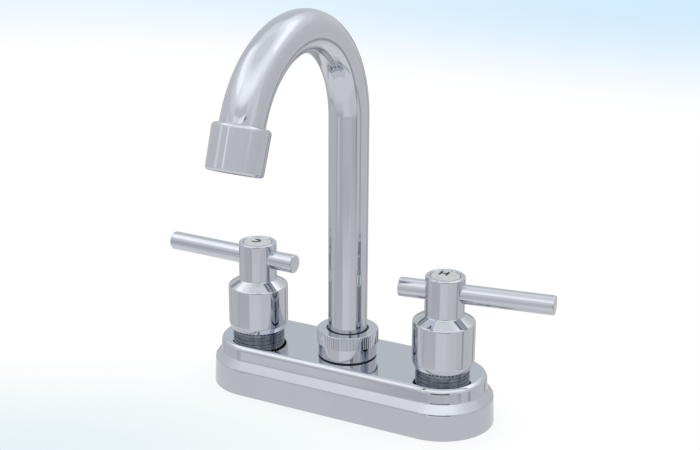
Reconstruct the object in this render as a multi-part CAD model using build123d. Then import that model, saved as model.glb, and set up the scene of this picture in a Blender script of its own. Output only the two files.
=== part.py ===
from build123d import *
from math import atan2, cos, pi, radians, sin, tan
import os

# Two-handle centreset basin tap with a gooseneck spout. Millimetres, +Z up.
# The origin is midway between the two supply shanks, on the underside of the base.
# The spout reaches towards -Y, the cold valve is at -X and the hot valve at +X.

# Layout and general clearances
VALVE_CENTRES = 101.6
BASE_CENTRE_Y = 2.9
RUNNING_CLEARANCE = 0.05
SEAT_CLEARANCE = 0.02

# Base cover: an obround shell with a stepped side
END_ARC_X = 48.4
FOOT_HALF_WIDTH = 26.2
FOOT_DRAFT = 0.6
LEDGE_FOOT_Z = 11.4
LEDGE_RISE = 4.2
LEDGE_DEPTH = 3.0
DECK_DRAFT = 0.5
DECK_Z = 24.0
COVER_WALL = 2.2
LEDGE_FOOT_RADIUS = 1.3
LEDGE_TOP_RADIUS = 1.6
DECK_EDGE_RADIUS = 2.8
COVER_HOLE_CLEARANCE = 0.3

# Base gasket, let into the foot of the cover
GASKET_THICKNESS = 1.6
GASKET_MARGIN = 0.4
GASKET_HOLE_CLEARANCE = 0.3

# Valve bodies, each turned in one piece with its supply shank
SHANK_RADIUS = 10.45
SHANK_LENGTH = 42.0
SHANK_CHAMFER = 1.2
SHANK_COUPLING_LENGTH = 11.5
SHANK_UNDERCUT_WIDTH = 1.2
SHANK_UNDERCUT_DEPTH = 0.75
SHANK_BORE_RADIUS = 6.6
BODY_FLANGE_RADIUS = 14.5
BODY_FLANGE_THICKNESS = 3.4
BARREL_RADIUS = 12.6
NECK_RADIUS = 10.7
NECK_TOP_Z = 31.0
CHAMBER_RADIUS = 8.9
CHAMBER_FLOOR_Z = 6.0

# Crossover pipes, brazed between the valve bodies and the spout hub
PIPE_RADIUS = 5.0
PIPE_WALL = 1.0
PIPE_Z = 12.4
PIPE_SOCKET_DEPTH = 2.4

# Spout hub
HUB_RADIUS = 13.0
HUB_FLOOR = 3.4
HUB_NECK_RADIUS = 11.3
HUB_NECK_TOP_Z = 30.0
HUB_BORE_RADIUS = 8.95

# Locknuts and washers under the basin deck
BASIN_DECK = 20.0
DECK_WASHER_RADIUS = 17.5
DECK_WASHER_THICKNESS = 2.0
LOCKNUT_ACROSS_FLATS = 30.0
LOCKNUT_THICKNESS = 7.0
LOCKNUT_FLANGE_RADIUS = 17.0
LOCKNUT_FLANGE_THICKNESS = 1.8

# Bonnet rings that clamp the cover, with a castellated top edge
BONNET_RADIUS = 12.9
BONNET_TOP_Z = 30.0
BONNET_GROOVE_Z = 25.9
BONNET_GROOVE_WIDTH = 0.5
BONNET_GROOVE_DEPTH = 0.35
BONNET_NOTCHES = 44
BONNET_TIP_SHARE = 0.5
BONNET_ROOT_SHARE = 0.46
BONNET_NOTCH_DEPTH = 0.9
BONNET_NOTCH_HEIGHT = 2.0

# Seat seals under the ceramic disc cartridges
SEAL_THICKNESS = 2.0
SEAL_RADIUS = 8.4
SEAL_BORE_RADIUS = 5.4

# Ceramic disc cartridges
CARTRIDGE_RADIUS = 7.9
CARTRIDGE_COLLAR_LENGTH = 11.0
CARTRIDGE_HEX_ACROSS_FLATS = 19.0
CARTRIDGE_HEX_THICKNESS = 4.0
GLAND_RADIUS = 6.4
GLAND_TOP_Z = 42.0
DISC_CHAMBER_RADIUS = 6.9
DISC_CHAMBER_DEPTH = 8.6
DISC_RADIUS = 6.8
DISC_THICKNESS = 1.8
DISC_PORT_RADIUS = 1.9
DISC_PORT_OFFSET = 3.8
DISC_SLOT_WIDTH = 2.6
DISC_SLOT_DEPTH = 0.8
CLOSED_DISC_TURN = 90.0
WINDOW_WIDTH = 5.0
WINDOW_FOOT = 3.8
WINDOW_HEIGHT = 2.6

# Spindles
SPINDLE_RADIUS = 4.0
SPINDLE_FOOT_RADIUS = 6.3
SPINDLE_FOOT_THICKNESS = 3.2
TANG_LENGTH = 10.0
SPLINE_LEAD = 0.4
SPLINE_TOP_Z = 53.0
SPLINE_TEETH = 20
SPLINE_TOOTH_DEPTH = 0.4
SPLINE_TIP_SHARE = 0.3
SPLINE_ROOT_SHARE = 0.3
SPLINE_SHARE_PLAY = 0.04
SPINDLE_TAPPING_DEPTH = 7.5
O_RING_SECTION = 1.5
SPINDLE_O_RING_Z = 37.0

# Handle castings: hub and bell in one piece
HANDLE_HUB_RADIUS = 9.35
HANDLE_TOP_Z = 73.5
BELL_RADIUS = 14.8
BELL_FOOT_Z = 28.95
BELL_FOOT_TAPER = 0.85
BELL_FOOT_TAPER_HEIGHT = 2.8
BELL_SHOULDER_Z = 51.1
HUB_FOOT_Z = 54.5
BELL_WALL = 1.5
BELL_CROWN = 4.0
BELL_LIP_RADIUS = 0.25
BELL_TAPER_RADIUS = 4.0
SHOULDER_RADIUS = 1.0
HUB_FILLET = 0.8
HUB_TOP_RADIUS = 0.9
SOCKET_BOSS_RADIUS = 6.6
SOCKET_BOSS_FOOT_Z = 43.0
SCREW_WEB_THICKNESS = 3.0
SCREW_WELL_RADIUS = 4.2
BUTTON_RECESS_DEPTH = 2.2
BUTTON_RECESS_CHAMFER = 0.3

# Handle screws
SCREW_RADIUS = 2.0
SCREW_HEAD_RADIUS = 3.8
SCREW_HEAD_THICKNESS = 2.6
SCREW_HEAD_ROUNDING = 0.6
SCREW_LENGTH = 9.0
SCREW_HOLE_CLEARANCE = 0.15
CROSS_WIDTH = 1.0
CROSS_LENGTH = 4.2
CROSS_DEPTH = 1.4

# Index buttons
BUTTON_RADIUS = 6.95
BUTTON_GAP = 0.15
BUTTON_DROP = 0.25
BUTTON_THICKNESS = 1.2
BUTTON_SKIRT_WIDTH = 1.2
BUTTON_EDGE_RADIUS = 0.3

# Lever and stub of each handle
LEVER_RADIUS = 4.55
LEVER_DROP = 8.2
LEVER_REACH = 51.3
STUB_REACH = 21.8
LEVER_END_RADIUS = 0.6
LEVER_SEAT_RADIUS = 7.4
SPIGOT_RADIUS = 2.4
SPIGOT_LENGTH = 2.4
COLD_LEVER_ANGLE = 178.0
HOT_LEVER_ANGLE = 9.0

# Spout tube: a riser, two bends of slightly different radius and a short straight end
TUBE_RADIUS = 9.45
TUBE_WALL = 1.0
RISER_TOP_Z = 142.3
REAR_BEND_RADIUS = 45.6
REAR_BEND_SWEEP = 90.0
FRONT_BEND_RADIUS = 48.1
FRONT_BEND_SWEEP = 70.1

# Spout tail, a turned piece in the foot of the tube
TAIL_RADIUS = 8.9
TAIL_LENGTH = 12.0
TAIL_BORE_RADIUS = 6.2
TAIL_COLLAR_RADIUS = 10.9
TAIL_COLLAR_THICKNESS = 2.0
TAIL_SPIGOT_LENGTH = 7.0
TAIL_LOW_GROOVE = 3.0
TAIL_HIGH_GROOVE = 7.5

# Spout nut, knurled above and plain below, on a thin rubber washer
NUT_RADIUS = 15.0
NUT_TOP_Z = 37.6
NUT_PLAIN_RADIUS = 14.3
NUT_KNURL_HEIGHT = 6.4
NUT_KNURL_DEPTH = 0.4
NUT_TEETH = 72
NUT_TIP_SHARE = 0.3
NUT_ROOT_SHARE = 0.3
NUT_TOP_RADIUS = 0.7
NUT_LIP_THICKNESS = 3.4
NUT_OPENING_RADIUS = 10.35
NUT_WASHER_THICKNESS = 0.6
NUT_WASHER_RADIUS = 14.2

# Slip ring between the nut and the tube
SLIP_RING_FLANGE_RADIUS = 11.2
SLIP_RING_WALL = 0.7
SLIP_RING_DROP = 0.3

# Aerator on the end of the spout, measured down its own axis from its top face
AERATOR_STANDOFF = 0.9
AERATOR_RADIUS = 12.2
AERATOR_FOOT_RADIUS = 11.9
AERATOR_LENGTH = 18.6
AERATOR_TOP_ROUNDING = 0.9
AERATOR_FOOT_CHAMFER = 0.9
AERATOR_BORE_RADIUS = 10.9
AERATOR_LIP_THICKNESS = 2.0
AERATOR_LIP_RADIUS = 9.3
NIPPLE_DROP = 0.25
NIPPLE_LENGTH = 8.75
NIPPLE_SHELF = 1.8
AERATOR_WASHER_THICKNESS = 1.6
AERATOR_WASHER_BORE_RADIUS = 7.6
SCREEN_THICKNESS = 0.6
SCREEN_HOLE_RADIUS = 0.6
SCREEN_HOLE_PITCH = 2.2
INSERT_PROUD = 0.6
INSERT_HOLE_RADIUS = 0.85
INSERT_HOLE_PITCH = 2.5
HOLE_RINGS = 3

# Levels and lengths that follow from the sizes above
VALVE_X = VALVE_CENTRES / 2
COVER_CEILING_Z = DECK_Z - COVER_WALL
NUT_FOOT_Z = DECK_Z + NUT_WASHER_THICKNESS
CARTRIDGE_FOOT_Z = CHAMBER_FLOOR_Z + SEAL_THICKNESS
MOVING_DISC_Z = CARTRIDGE_FOOT_Z + DISC_THICKNESS + SEAT_CLEARANCE
DISC_CHAMBER_TOP_Z = CARTRIDGE_FOOT_Z + DISC_CHAMBER_DEPTH
SPINDLE_FOOT_TOP_Z = DISC_CHAMBER_TOP_Z - RUNNING_CLEARANCE
SCREW_WEB_Z = SPLINE_TOP_Z + RUNNING_CLEARANCE
SCREW_SEAT_Z = SCREW_WEB_Z + SCREW_WEB_THICKNESS
BUTTON_FLOOR_Z = HANDLE_TOP_Z - BUTTON_RECESS_DEPTH
LEVER_Z = HANDLE_TOP_Z - LEVER_DROP
TAIL_COLLAR_Z = HUB_NECK_TOP_Z + SEAT_CLEARANCE
TUBE_FOOT_Z = TAIL_COLLAR_Z + TAIL_COLLAR_THICKNESS
TAIL_FOOT_Z = HUB_NECK_TOP_Z - TAIL_LENGTH
AERATOR_LIP = AERATOR_LENGTH - AERATOR_LIP_THICKNESS
NIPPLE_FOOT = NIPPLE_DROP + NIPPLE_LENGTH
TUBE_END_STRAIGHT = AERATOR_STANDOFF + NIPPLE_FOOT - NIPPLE_SHELF


def section(corners, radii=None):
    """A face in the XZ plane from (r, z) corners; radii rounds corners by their place in the list."""
    points = [Vector(r, 0, z) for r, z in corners]
    face = Face(Wire.make_polygon(points, close=True))
    for place, radius in (radii or {}).items():
        corner = face.vertices().sort_by_distance(points[place])[0]
        face = face.fillet_2d(radius, [corner])
    return face


def turned(corners, radii=None):
    """A solid turned about Z from (r, z) corners."""
    return revolve(section(corners, radii), Axis.Z)


def sleeve(outer, inner, low, high):
    """A plain ring or tube about Z."""
    return turned([(inner, low), (outer, low), (outer, high), (inner, high)])


def rod(radius, low, high):
    """A plain disc or rod about Z."""
    return turned([(0, low), (radius, low), (radius, high), (0, high)])


def toothed(outer, root, teeth, tip_share, root_share, low, high):
    """A toothed disc about Z; the shares say how much of the pitch is tip and how much is root."""
    pitch = 2 * pi / teeth
    steps = [
        (-tip_share / 2, outer),
        (tip_share / 2, outer),
        (0.5 - root_share / 2, root),
        (0.5 + root_share / 2, root),
    ]
    points = []
    for tooth in range(teeth):
        for step, radius in steps:
            angle = (tooth + step) * pitch
            points.append((radius * cos(angle), radius * sin(angle), low))
    return extrude(Face(Wire.make_polygon(points, close=True)), high - low, dir=(0, 0, 1))


def hexagon(across_flats, low, high):
    """A hexagonal prism about Z."""
    corner = across_flats / 2 / cos(radians(30))
    return toothed(corner, across_flats / 2, 6, 0, 0, low, high)


def o_ring(groove_root, low):
    """A rubber ring lying in a groove, from the radius of the groove's floor and its lower side."""
    radius = O_RING_SECTION / 2
    middle = groove_root + radius
    circle = Plane.XZ * Pos(middle, low + radius, 0) * Circle(radius)
    return revolve(circle, Axis.Z)


def groove(outer, low):
    """The groove that an O-ring lies in, as the solid to cut away."""
    root = outer - O_RING_SECTION
    top = low + O_RING_SECTION + SEAT_CLEARANCE
    return sleeve(outer + 1, root, low - SEAT_CLEARANCE, top)


def hole_grid(radius, pitch, low, high):
    """Rods for a hexagonal grid of holes: one in the middle and rings of six, twelve and so on."""
    rods = [Pos(0, 0, low) * extrude(Circle(radius), high - low)]
    for ring in range(1, HOLE_RINGS + 1):
        for count in range(6 * ring):
            side, step = divmod(count, ring)
            corner = radians(60 * side)
            along = radians(60 * side + 120)
            x = pitch * (ring * cos(corner) + step * cos(along))
            y = pitch * (ring * sin(corner) + step * sin(along))
            rods.append(Pos(x, y, low) * extrude(Circle(radius), high - low))
    return rods


def at_hot(solid):
    """Place a solid built about Z at the hot valve."""
    return Pos(VALVE_X, 0, 0) * solid


def at_cold(solid):
    """Place a solid built about Z at the cold valve."""
    return Pos(-VALVE_X, 0, 0) * solid


def cover_half(inset, foot_z):
    """Half of the cover's cross-section, drawn in from its outside by inset."""
    slope = atan2(LEDGE_RISE, LEDGE_DEPTH)
    drop = inset * tan((pi / 2 - slope) / 2)
    foot = FOOT_HALF_WIDTH - inset
    shelf = foot - FOOT_DRAFT
    wall = shelf - LEDGE_DEPTH
    deck = wall - DECK_DRAFT
    low = LEDGE_FOOT_Z - drop
    high = LEDGE_FOOT_Z + LEDGE_RISE - drop
    top = DECK_Z - inset
    corners = [(0, foot_z), (foot, foot_z), (shelf, low), (wall, high), (deck, top), (0, top)]
    radii = {2: LEDGE_FOOT_RADIUS, 3: LEDGE_TOP_RADIUS, 4: DECK_EDGE_RADIUS}
    return section(corners, {} if inset else radii)


def obround(half):
    """A solid whose half section runs along both sides and round both ends of the base."""
    front = Rot(0, 0, -90) * half
    back = Rot(0, 0, 90) * half
    sides = extrude(front, END_ARC_X, dir=(1, 0, 0), both=True)
    sides += extrude(back, END_ARC_X, dir=(1, 0, 0), both=True)
    right_end = Pos(END_ARC_X, 0, 0) * revolve(front, Axis.Z, 180)
    left_end = Pos(-END_ARC_X, 0, 0) * revolve(back, Axis.Z, 180)
    return Pos(0, BASE_CENTRE_Y, 0) * (sides + right_end + left_end)


def base_cover():
    """The stepped obround shell with its three holes."""
    shell = obround(cover_half(0, 0)) - obround(cover_half(COVER_WALL, 0))
    valve_hole = rod(NECK_RADIUS + COVER_HOLE_CLEARANCE, 0, DECK_Z)
    hub_hole = rod(HUB_NECK_RADIUS + COVER_HOLE_CLEARANCE, 0, DECK_Z)
    return shell - at_hot(valve_hole) - at_cold(valve_hole) - hub_hole


def base_gasket():
    """The sealing plate inside the foot of the cover."""
    draft = FOOT_DRAFT * GASKET_THICKNESS / LEDGE_FOOT_Z
    half_width = FOOT_HALF_WIDTH - draft - COVER_WALL - GASKET_MARGIN
    half = section([(0, 0), (half_width, 0), (half_width, GASKET_THICKNESS), (0, GASKET_THICKNESS)])
    hole = rod(SHANK_RADIUS + GASKET_HOLE_CLEARANCE, 0, GASKET_THICKNESS)
    return obround(half) - at_hot(hole) - at_cold(hole)


def pipe_socket(body_radius):
    """The stepped hole for a crossover pipe along +X, as the solid to cut from a body."""
    bottom = body_radius - PIPE_SOCKET_DEPTH
    seat = rod(PIPE_RADIUS + SEAT_CLEARANCE, bottom, body_radius + 1)
    port = rod(PIPE_RADIUS - PIPE_WALL, 0, bottom)
    return Pos(0, 0, PIPE_Z) * Rot(0, 90, 0) * (seat + port)


def valve_body(towards_hub):
    """A valve body with its supply shank; towards_hub is the direction of its crossover pipe."""
    flange_top = GASKET_THICKNESS + BODY_FLANGE_THICKNESS
    coupling_top = SHANK_COUPLING_LENGTH - SHANK_LENGTH
    undercut_top = coupling_top + SHANK_UNDERCUT_WIDTH
    undercut_radius = SHANK_RADIUS - SHANK_UNDERCUT_DEPTH
    body = turned([
        (SHANK_BORE_RADIUS, -SHANK_LENGTH),
        (SHANK_RADIUS - SHANK_CHAMFER, -SHANK_LENGTH),
        (SHANK_RADIUS, SHANK_CHAMFER - SHANK_LENGTH),
        (SHANK_RADIUS, coupling_top),
        (undercut_radius, coupling_top),
        (undercut_radius, undercut_top),
        (SHANK_RADIUS, undercut_top),
        (SHANK_RADIUS, GASKET_THICKNESS),
        (BODY_FLANGE_RADIUS, GASKET_THICKNESS),
        (BODY_FLANGE_RADIUS, flange_top),
        (BARREL_RADIUS, flange_top),
        (BARREL_RADIUS, COVER_CEILING_Z),
        (NECK_RADIUS, COVER_CEILING_Z),
        (NECK_RADIUS, NECK_TOP_Z),
        (CHAMBER_RADIUS, NECK_TOP_Z),
        (CHAMBER_RADIUS, CHAMBER_FLOOR_Z),
        (SHANK_BORE_RADIUS, CHAMBER_FLOOR_Z),
    ])
    return body - Rot(0, 0, towards_hub) * pipe_socket(BARREL_RADIUS)


def spout_hub():
    """The body that the spout turns in, with a socket for each crossover pipe."""
    floor = GASKET_THICKNESS + HUB_FLOOR
    body = turned([
        (0, GASKET_THICKNESS),
        (HUB_RADIUS, GASKET_THICKNESS),
        (HUB_RADIUS, COVER_CEILING_Z),
        (HUB_NECK_RADIUS, COVER_CEILING_Z),
        (HUB_NECK_RADIUS, HUB_NECK_TOP_Z),
        (HUB_BORE_RADIUS, HUB_NECK_TOP_Z),
        (HUB_BORE_RADIUS, floor),
        (0, floor),
    ])
    socket = pipe_socket(HUB_RADIUS)
    return body - socket - Rot(0, 0, 180) * socket


def crossover_pipe():
    """The pipe from the spout hub to the hot valve body."""
    start = HUB_RADIUS - PIPE_SOCKET_DEPTH
    end = VALVE_X - BARREL_RADIUS + PIPE_SOCKET_DEPTH
    return Pos(0, 0, PIPE_Z) * Rot(0, 90, 0) * sleeve(PIPE_RADIUS, PIPE_RADIUS - PIPE_WALL, start, end)


def deck_washer():
    """The washer between the basin deck and a locknut."""
    foot = -BASIN_DECK - DECK_WASHER_THICKNESS
    return sleeve(DECK_WASHER_RADIUS, SHANK_RADIUS + SEAT_CLEARANCE, foot, -BASIN_DECK)


def locknut():
    """A flanged hexagonal locknut on a shank."""
    top = -BASIN_DECK - DECK_WASHER_THICKNESS
    flange = rod(LOCKNUT_FLANGE_RADIUS, top - LOCKNUT_FLANGE_THICKNESS, top)
    nut = hexagon(LOCKNUT_ACROSS_FLATS, top - LOCKNUT_THICKNESS, top)
    return flange + nut - rod(SHANK_RADIUS + SEAT_CLEARANCE, top - LOCKNUT_THICKNESS, top)


def bonnet_ring():
    """The ring on a valve neck that clamps the cover, castellated at the top."""
    notch_foot = BONNET_TOP_Z - BONNET_NOTCH_HEIGHT
    root = BONNET_RADIUS - BONNET_NOTCH_DEPTH
    bore = NECK_RADIUS + SEAT_CLEARANCE
    band = turned([
        (bore, DECK_Z),
        (BONNET_RADIUS, DECK_Z),
        (BONNET_RADIUS, BONNET_GROOVE_Z),
        (BONNET_RADIUS - BONNET_GROOVE_DEPTH, BONNET_GROOVE_Z),
        (BONNET_RADIUS - BONNET_GROOVE_DEPTH, BONNET_GROOVE_Z + BONNET_GROOVE_WIDTH),
        (BONNET_RADIUS, BONNET_GROOVE_Z + BONNET_GROOVE_WIDTH),
        (BONNET_RADIUS, notch_foot),
        (bore, notch_foot),
    ])
    shares = (BONNET_TIP_SHARE, BONNET_ROOT_SHARE)
    castles = toothed(BONNET_RADIUS, root, BONNET_NOTCHES, *shares, notch_foot, BONNET_TOP_Z)
    return band + (castles - rod(bore, notch_foot, BONNET_TOP_Z))


def seat_seal():
    """The rubber ring between a valve body's floor and its cartridge."""
    return sleeve(SEAL_RADIUS, SEAL_BORE_RADIUS, CHAMBER_FLOOR_Z, CARTRIDGE_FOOT_Z)


def cartridge_body():
    """The cartridge's brass body, with water windows, a hexagon and the gland above it."""
    bore = SPINDLE_RADIUS + RUNNING_CLEARANCE
    collar_z = NECK_TOP_Z - CARTRIDGE_COLLAR_LENGTH
    collar_radius = CHAMBER_RADIUS - RUNNING_CLEARANCE
    hex_top = NECK_TOP_Z + CARTRIDGE_HEX_THICKNESS
    body = turned([
        (DISC_CHAMBER_RADIUS, CARTRIDGE_FOOT_Z),
        (CARTRIDGE_RADIUS, CARTRIDGE_FOOT_Z),
        (CARTRIDGE_RADIUS, collar_z),
        (collar_radius, collar_z),
        (collar_radius, NECK_TOP_Z),
        (GLAND_RADIUS, NECK_TOP_Z),
        (GLAND_RADIUS, GLAND_TOP_Z),
        (bore, GLAND_TOP_Z),
        (bore, DISC_CHAMBER_TOP_Z),
        (DISC_CHAMBER_RADIUS, DISC_CHAMBER_TOP_Z),
    ])
    nut = hexagon(CARTRIDGE_HEX_ACROSS_FLATS, NECK_TOP_Z, hex_top) - rod(bore, NECK_TOP_Z, hex_top)
    window = Pos(0, 0, CARTRIDGE_FOOT_Z + WINDOW_FOOT) * Box(
        3 * CARTRIDGE_RADIUS, WINDOW_WIDTH, WINDOW_HEIGHT, align=(Align.CENTER, Align.CENTER, Align.MIN)
    )
    return body + nut - window


def ceramic_disc(foot_z, port_angle):
    """A ceramic disc with its two ports."""
    disc = rod(DISC_RADIUS, foot_z, foot_z + DISC_THICKNESS)
    for side in (0, 180):
        port = Pos(DISC_PORT_OFFSET, 0, 0) * rod(DISC_PORT_RADIUS, foot_z, foot_z + DISC_THICKNESS)
        disc -= Rot(0, 0, port_angle + side) * port
    return disc


def moving_disc():
    """The upper disc, closed at rest, with the slot that the spindle drives."""
    top = MOVING_DISC_Z + DISC_THICKNESS
    slot = Pos(0, 0, top) * Box(3 * DISC_RADIUS, DISC_SLOT_WIDTH, 2 * DISC_SLOT_DEPTH)
    return ceramic_disc(MOVING_DISC_Z, CLOSED_DISC_TURN) - slot


def spindle():
    """The spindle: a tang in the moving disc, a foot, a grooved stem and a splined, tapped end."""
    foot_z = SPINDLE_FOOT_TOP_Z - SPINDLE_FOOT_THICKNESS
    spline_z = SOCKET_BOSS_FOOT_Z - SPLINE_LEAD
    tang_z = MOVING_DISC_Z + DISC_THICKNESS - DISC_SLOT_DEPTH + RUNNING_CLEARANCE
    stem = rod(SPINDLE_FOOT_RADIUS, foot_z, SPINDLE_FOOT_TOP_Z)
    stem += rod(SPINDLE_RADIUS, SPINDLE_FOOT_TOP_Z, spline_z)
    root = SPINDLE_RADIUS - SPLINE_TOOTH_DEPTH
    shares = (SPLINE_TIP_SHARE, SPLINE_ROOT_SHARE)
    stem += toothed(SPINDLE_RADIUS, root, SPLINE_TEETH, *shares, spline_z, SPLINE_TOP_Z)
    stem += Pos(0, 0, tang_z) * Box(
        TANG_LENGTH,
        DISC_SLOT_WIDTH - 2 * RUNNING_CLEARANCE,
        foot_z - tang_z,
        align=(Align.CENTER, Align.CENTER, Align.MIN),
    )
    stem -= groove(SPINDLE_RADIUS, SPINDLE_O_RING_Z)
    return stem - rod(SCREW_RADIUS + SEAT_CLEARANCE, SPLINE_TOP_Z - SPINDLE_TAPPING_DEPTH, SPLINE_TOP_Z)


def spindle_o_ring():
    """The rubber ring that seals the spindle in the gland."""
    return o_ring(SPINDLE_RADIUS - O_RING_SECTION + SEAT_CLEARANCE, SPINDLE_O_RING_Z)


def handle_casting():
    """Hub and bell in one piece, hollow below, with a splined socket, a screw well and rod seats."""
    inside = BELL_RADIUS - BELL_WALL
    ceiling = HUB_FOOT_Z - BELL_CROWN
    body = turned(
        [
            (SOCKET_BOSS_RADIUS, SOCKET_BOSS_FOOT_Z),
            (SOCKET_BOSS_RADIUS, ceiling),
            (inside - BELL_WALL, ceiling),
            (inside, ceiling - BELL_WALL),
            (inside, BELL_FOOT_Z),
            (BELL_RADIUS - BELL_FOOT_TAPER, BELL_FOOT_Z),
            (BELL_RADIUS, BELL_FOOT_Z + BELL_FOOT_TAPER_HEIGHT),
            (BELL_RADIUS, BELL_SHOULDER_Z),
            (HANDLE_HUB_RADIUS, HUB_FOOT_Z),
            (HANDLE_HUB_RADIUS, HANDLE_TOP_Z),
            (0, HANDLE_TOP_Z),
            (0, SOCKET_BOSS_FOOT_Z),
        ],
        {
            5: BELL_LIP_RADIUS,
            6: BELL_TAPER_RADIUS,
            7: SHOULDER_RADIUS,
            8: HUB_FILLET,
            9: HUB_TOP_RADIUS,
        },
    )
    spline_outer = SPINDLE_RADIUS + RUNNING_CLEARANCE
    spline_root = spline_outer - SPLINE_TOOTH_DEPTH
    shares = (SPLINE_TIP_SHARE + SPLINE_SHARE_PLAY, SPLINE_ROOT_SHARE - SPLINE_SHARE_PLAY)
    body -= toothed(spline_outer, spline_root, SPLINE_TEETH, *shares, SOCKET_BOSS_FOOT_Z, SCREW_WEB_Z)
    recess_radius = BUTTON_RADIUS + BUTTON_GAP
    body -= turned([
        (0, SCREW_WEB_Z),
        (SCREW_RADIUS + SCREW_HOLE_CLEARANCE, SCREW_WEB_Z),
        (SCREW_RADIUS + SCREW_HOLE_CLEARANCE, SCREW_SEAT_Z),
        (SCREW_WELL_RADIUS, SCREW_SEAT_Z),
        (SCREW_WELL_RADIUS, BUTTON_FLOOR_Z),
        (recess_radius, BUTTON_FLOOR_Z),
        (recess_radius, HANDLE_TOP_Z - BUTTON_RECESS_CHAMFER),
        (recess_radius + BUTTON_RECESS_CHAMFER, HANDLE_TOP_Z),
        (0, HANDLE_TOP_Z),
    ])
    seat = rod(LEVER_RADIUS + SEAT_CLEARANCE, LEVER_SEAT_RADIUS, HANDLE_HUB_RADIUS + 1)
    spigot_end = LEVER_SEAT_RADIUS - SPIGOT_LENGTH - SEAT_CLEARANCE
    seat += rod(SPIGOT_RADIUS + SEAT_CLEARANCE, spigot_end, LEVER_SEAT_RADIUS)
    seat = Pos(0, 0, LEVER_Z) * Rot(0, 90, 0) * seat
    return body - seat - Rot(0, 0, 180) * seat


def handle_rod(reach):
    """A round rod of the handle along +X, with a spigot in the hub and a softened end."""
    spigot_end = LEVER_SEAT_RADIUS - SPIGOT_LENGTH
    shape = turned(
        [
            (0, spigot_end),
            (SPIGOT_RADIUS, spigot_end),
            (SPIGOT_RADIUS, LEVER_SEAT_RADIUS),
            (LEVER_RADIUS, LEVER_SEAT_RADIUS),
            (LEVER_RADIUS, reach),
            (0, reach),
        ],
        {4: LEVER_END_RADIUS},
    )
    return Pos(0, 0, LEVER_Z) * Rot(0, 90, 0) * shape


def index_button():
    """The round cap in the top of the hub, hollow underneath."""
    top = HANDLE_TOP_Z - BUTTON_DROP
    under = top - BUTTON_THICKNESS
    inside = BUTTON_RADIUS - BUTTON_SKIRT_WIDTH
    return turned(
        [
            (0, under),
            (inside, under),
            (inside, BUTTON_FLOOR_Z),
            (BUTTON_RADIUS, BUTTON_FLOOR_Z),
            (BUTTON_RADIUS, top),
            (0, top),
        ],
        {4: BUTTON_EDGE_RADIUS},
    )


def handle_screw():
    """The screw that holds the handle to its spindle, with a cross recess."""
    head_top = SCREW_SEAT_Z + SCREW_HEAD_THICKNESS
    screw = turned(
        [
            (0, SCREW_SEAT_Z - SCREW_LENGTH),
            (SCREW_RADIUS, SCREW_SEAT_Z - SCREW_LENGTH),
            (SCREW_RADIUS, SCREW_SEAT_Z),
            (SCREW_HEAD_RADIUS, SCREW_SEAT_Z),
            (SCREW_HEAD_RADIUS, head_top),
            (0, head_top),
        ],
        {4: SCREW_HEAD_ROUNDING},
    )
    for turn in (0, 90):
        screw -= Pos(0, 0, head_top) * Rot(0, 0, turn) * Box(CROSS_LENGTH, CROSS_WIDTH, 2 * CROSS_DEPTH)
    return screw


def spout_path():
    """The centre line of the spout tube, from its foot to its end inside the aerator."""
    riser = Line((0, TUBE_FOOT_Z), (0, RISER_TOP_Z))
    rear_centre = (-REAR_BEND_RADIUS, RISER_TOP_Z)
    rear = CenterArc(rear_centre, REAR_BEND_RADIUS, 0, REAR_BEND_SWEEP)
    front_centre = (rear @ 1) + (rear % 1).rotate(Axis.Z, 90) * FRONT_BEND_RADIUS
    front = CenterArc(front_centre, FRONT_BEND_RADIUS, REAR_BEND_SWEEP, FRONT_BEND_SWEEP)
    end = Line(front @ 1, (front @ 1) + (front % 1) * TUBE_END_STRAIGHT)
    return Plane.YZ * Wire([riser.edge(), rear.edge(), front.edge(), end.edge()])


def spout_tube(path):
    """The gooseneck tube."""
    start = Plane(path @ 0, z_dir=path % 0)
    ring = Circle(TUBE_RADIUS) - Circle(TUBE_RADIUS - TUBE_WALL)
    return sweep(start * ring, path)


def spout_tail():
    """The turned tail in the foot of the tube, with a collar and two O-ring grooves."""
    spigot = TUBE_RADIUS - TUBE_WALL - SEAT_CLEARANCE
    tail = turned([
        (TAIL_BORE_RADIUS, TAIL_FOOT_Z),
        (TAIL_RADIUS, TAIL_FOOT_Z),
        (TAIL_RADIUS, TAIL_COLLAR_Z),
        (TAIL_COLLAR_RADIUS, TAIL_COLLAR_Z),
        (TAIL_COLLAR_RADIUS, TUBE_FOOT_Z),
        (spigot, TUBE_FOOT_Z),
        (spigot, TUBE_FOOT_Z + TAIL_SPIGOT_LENGTH),
        (TAIL_BORE_RADIUS, TUBE_FOOT_Z + TAIL_SPIGOT_LENGTH),
    ])
    for height in (TAIL_LOW_GROOVE, TAIL_HIGH_GROOVE):
        tail -= groove(TAIL_RADIUS, TAIL_FOOT_Z + height)
    return tail


def spout_o_rings():
    """The two rubber rings on the tail."""
    root = TAIL_RADIUS - O_RING_SECTION + SEAT_CLEARANCE
    return [o_ring(root, TAIL_FOOT_Z + height) for height in (TAIL_LOW_GROOVE, TAIL_HIGH_GROOVE)]


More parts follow.
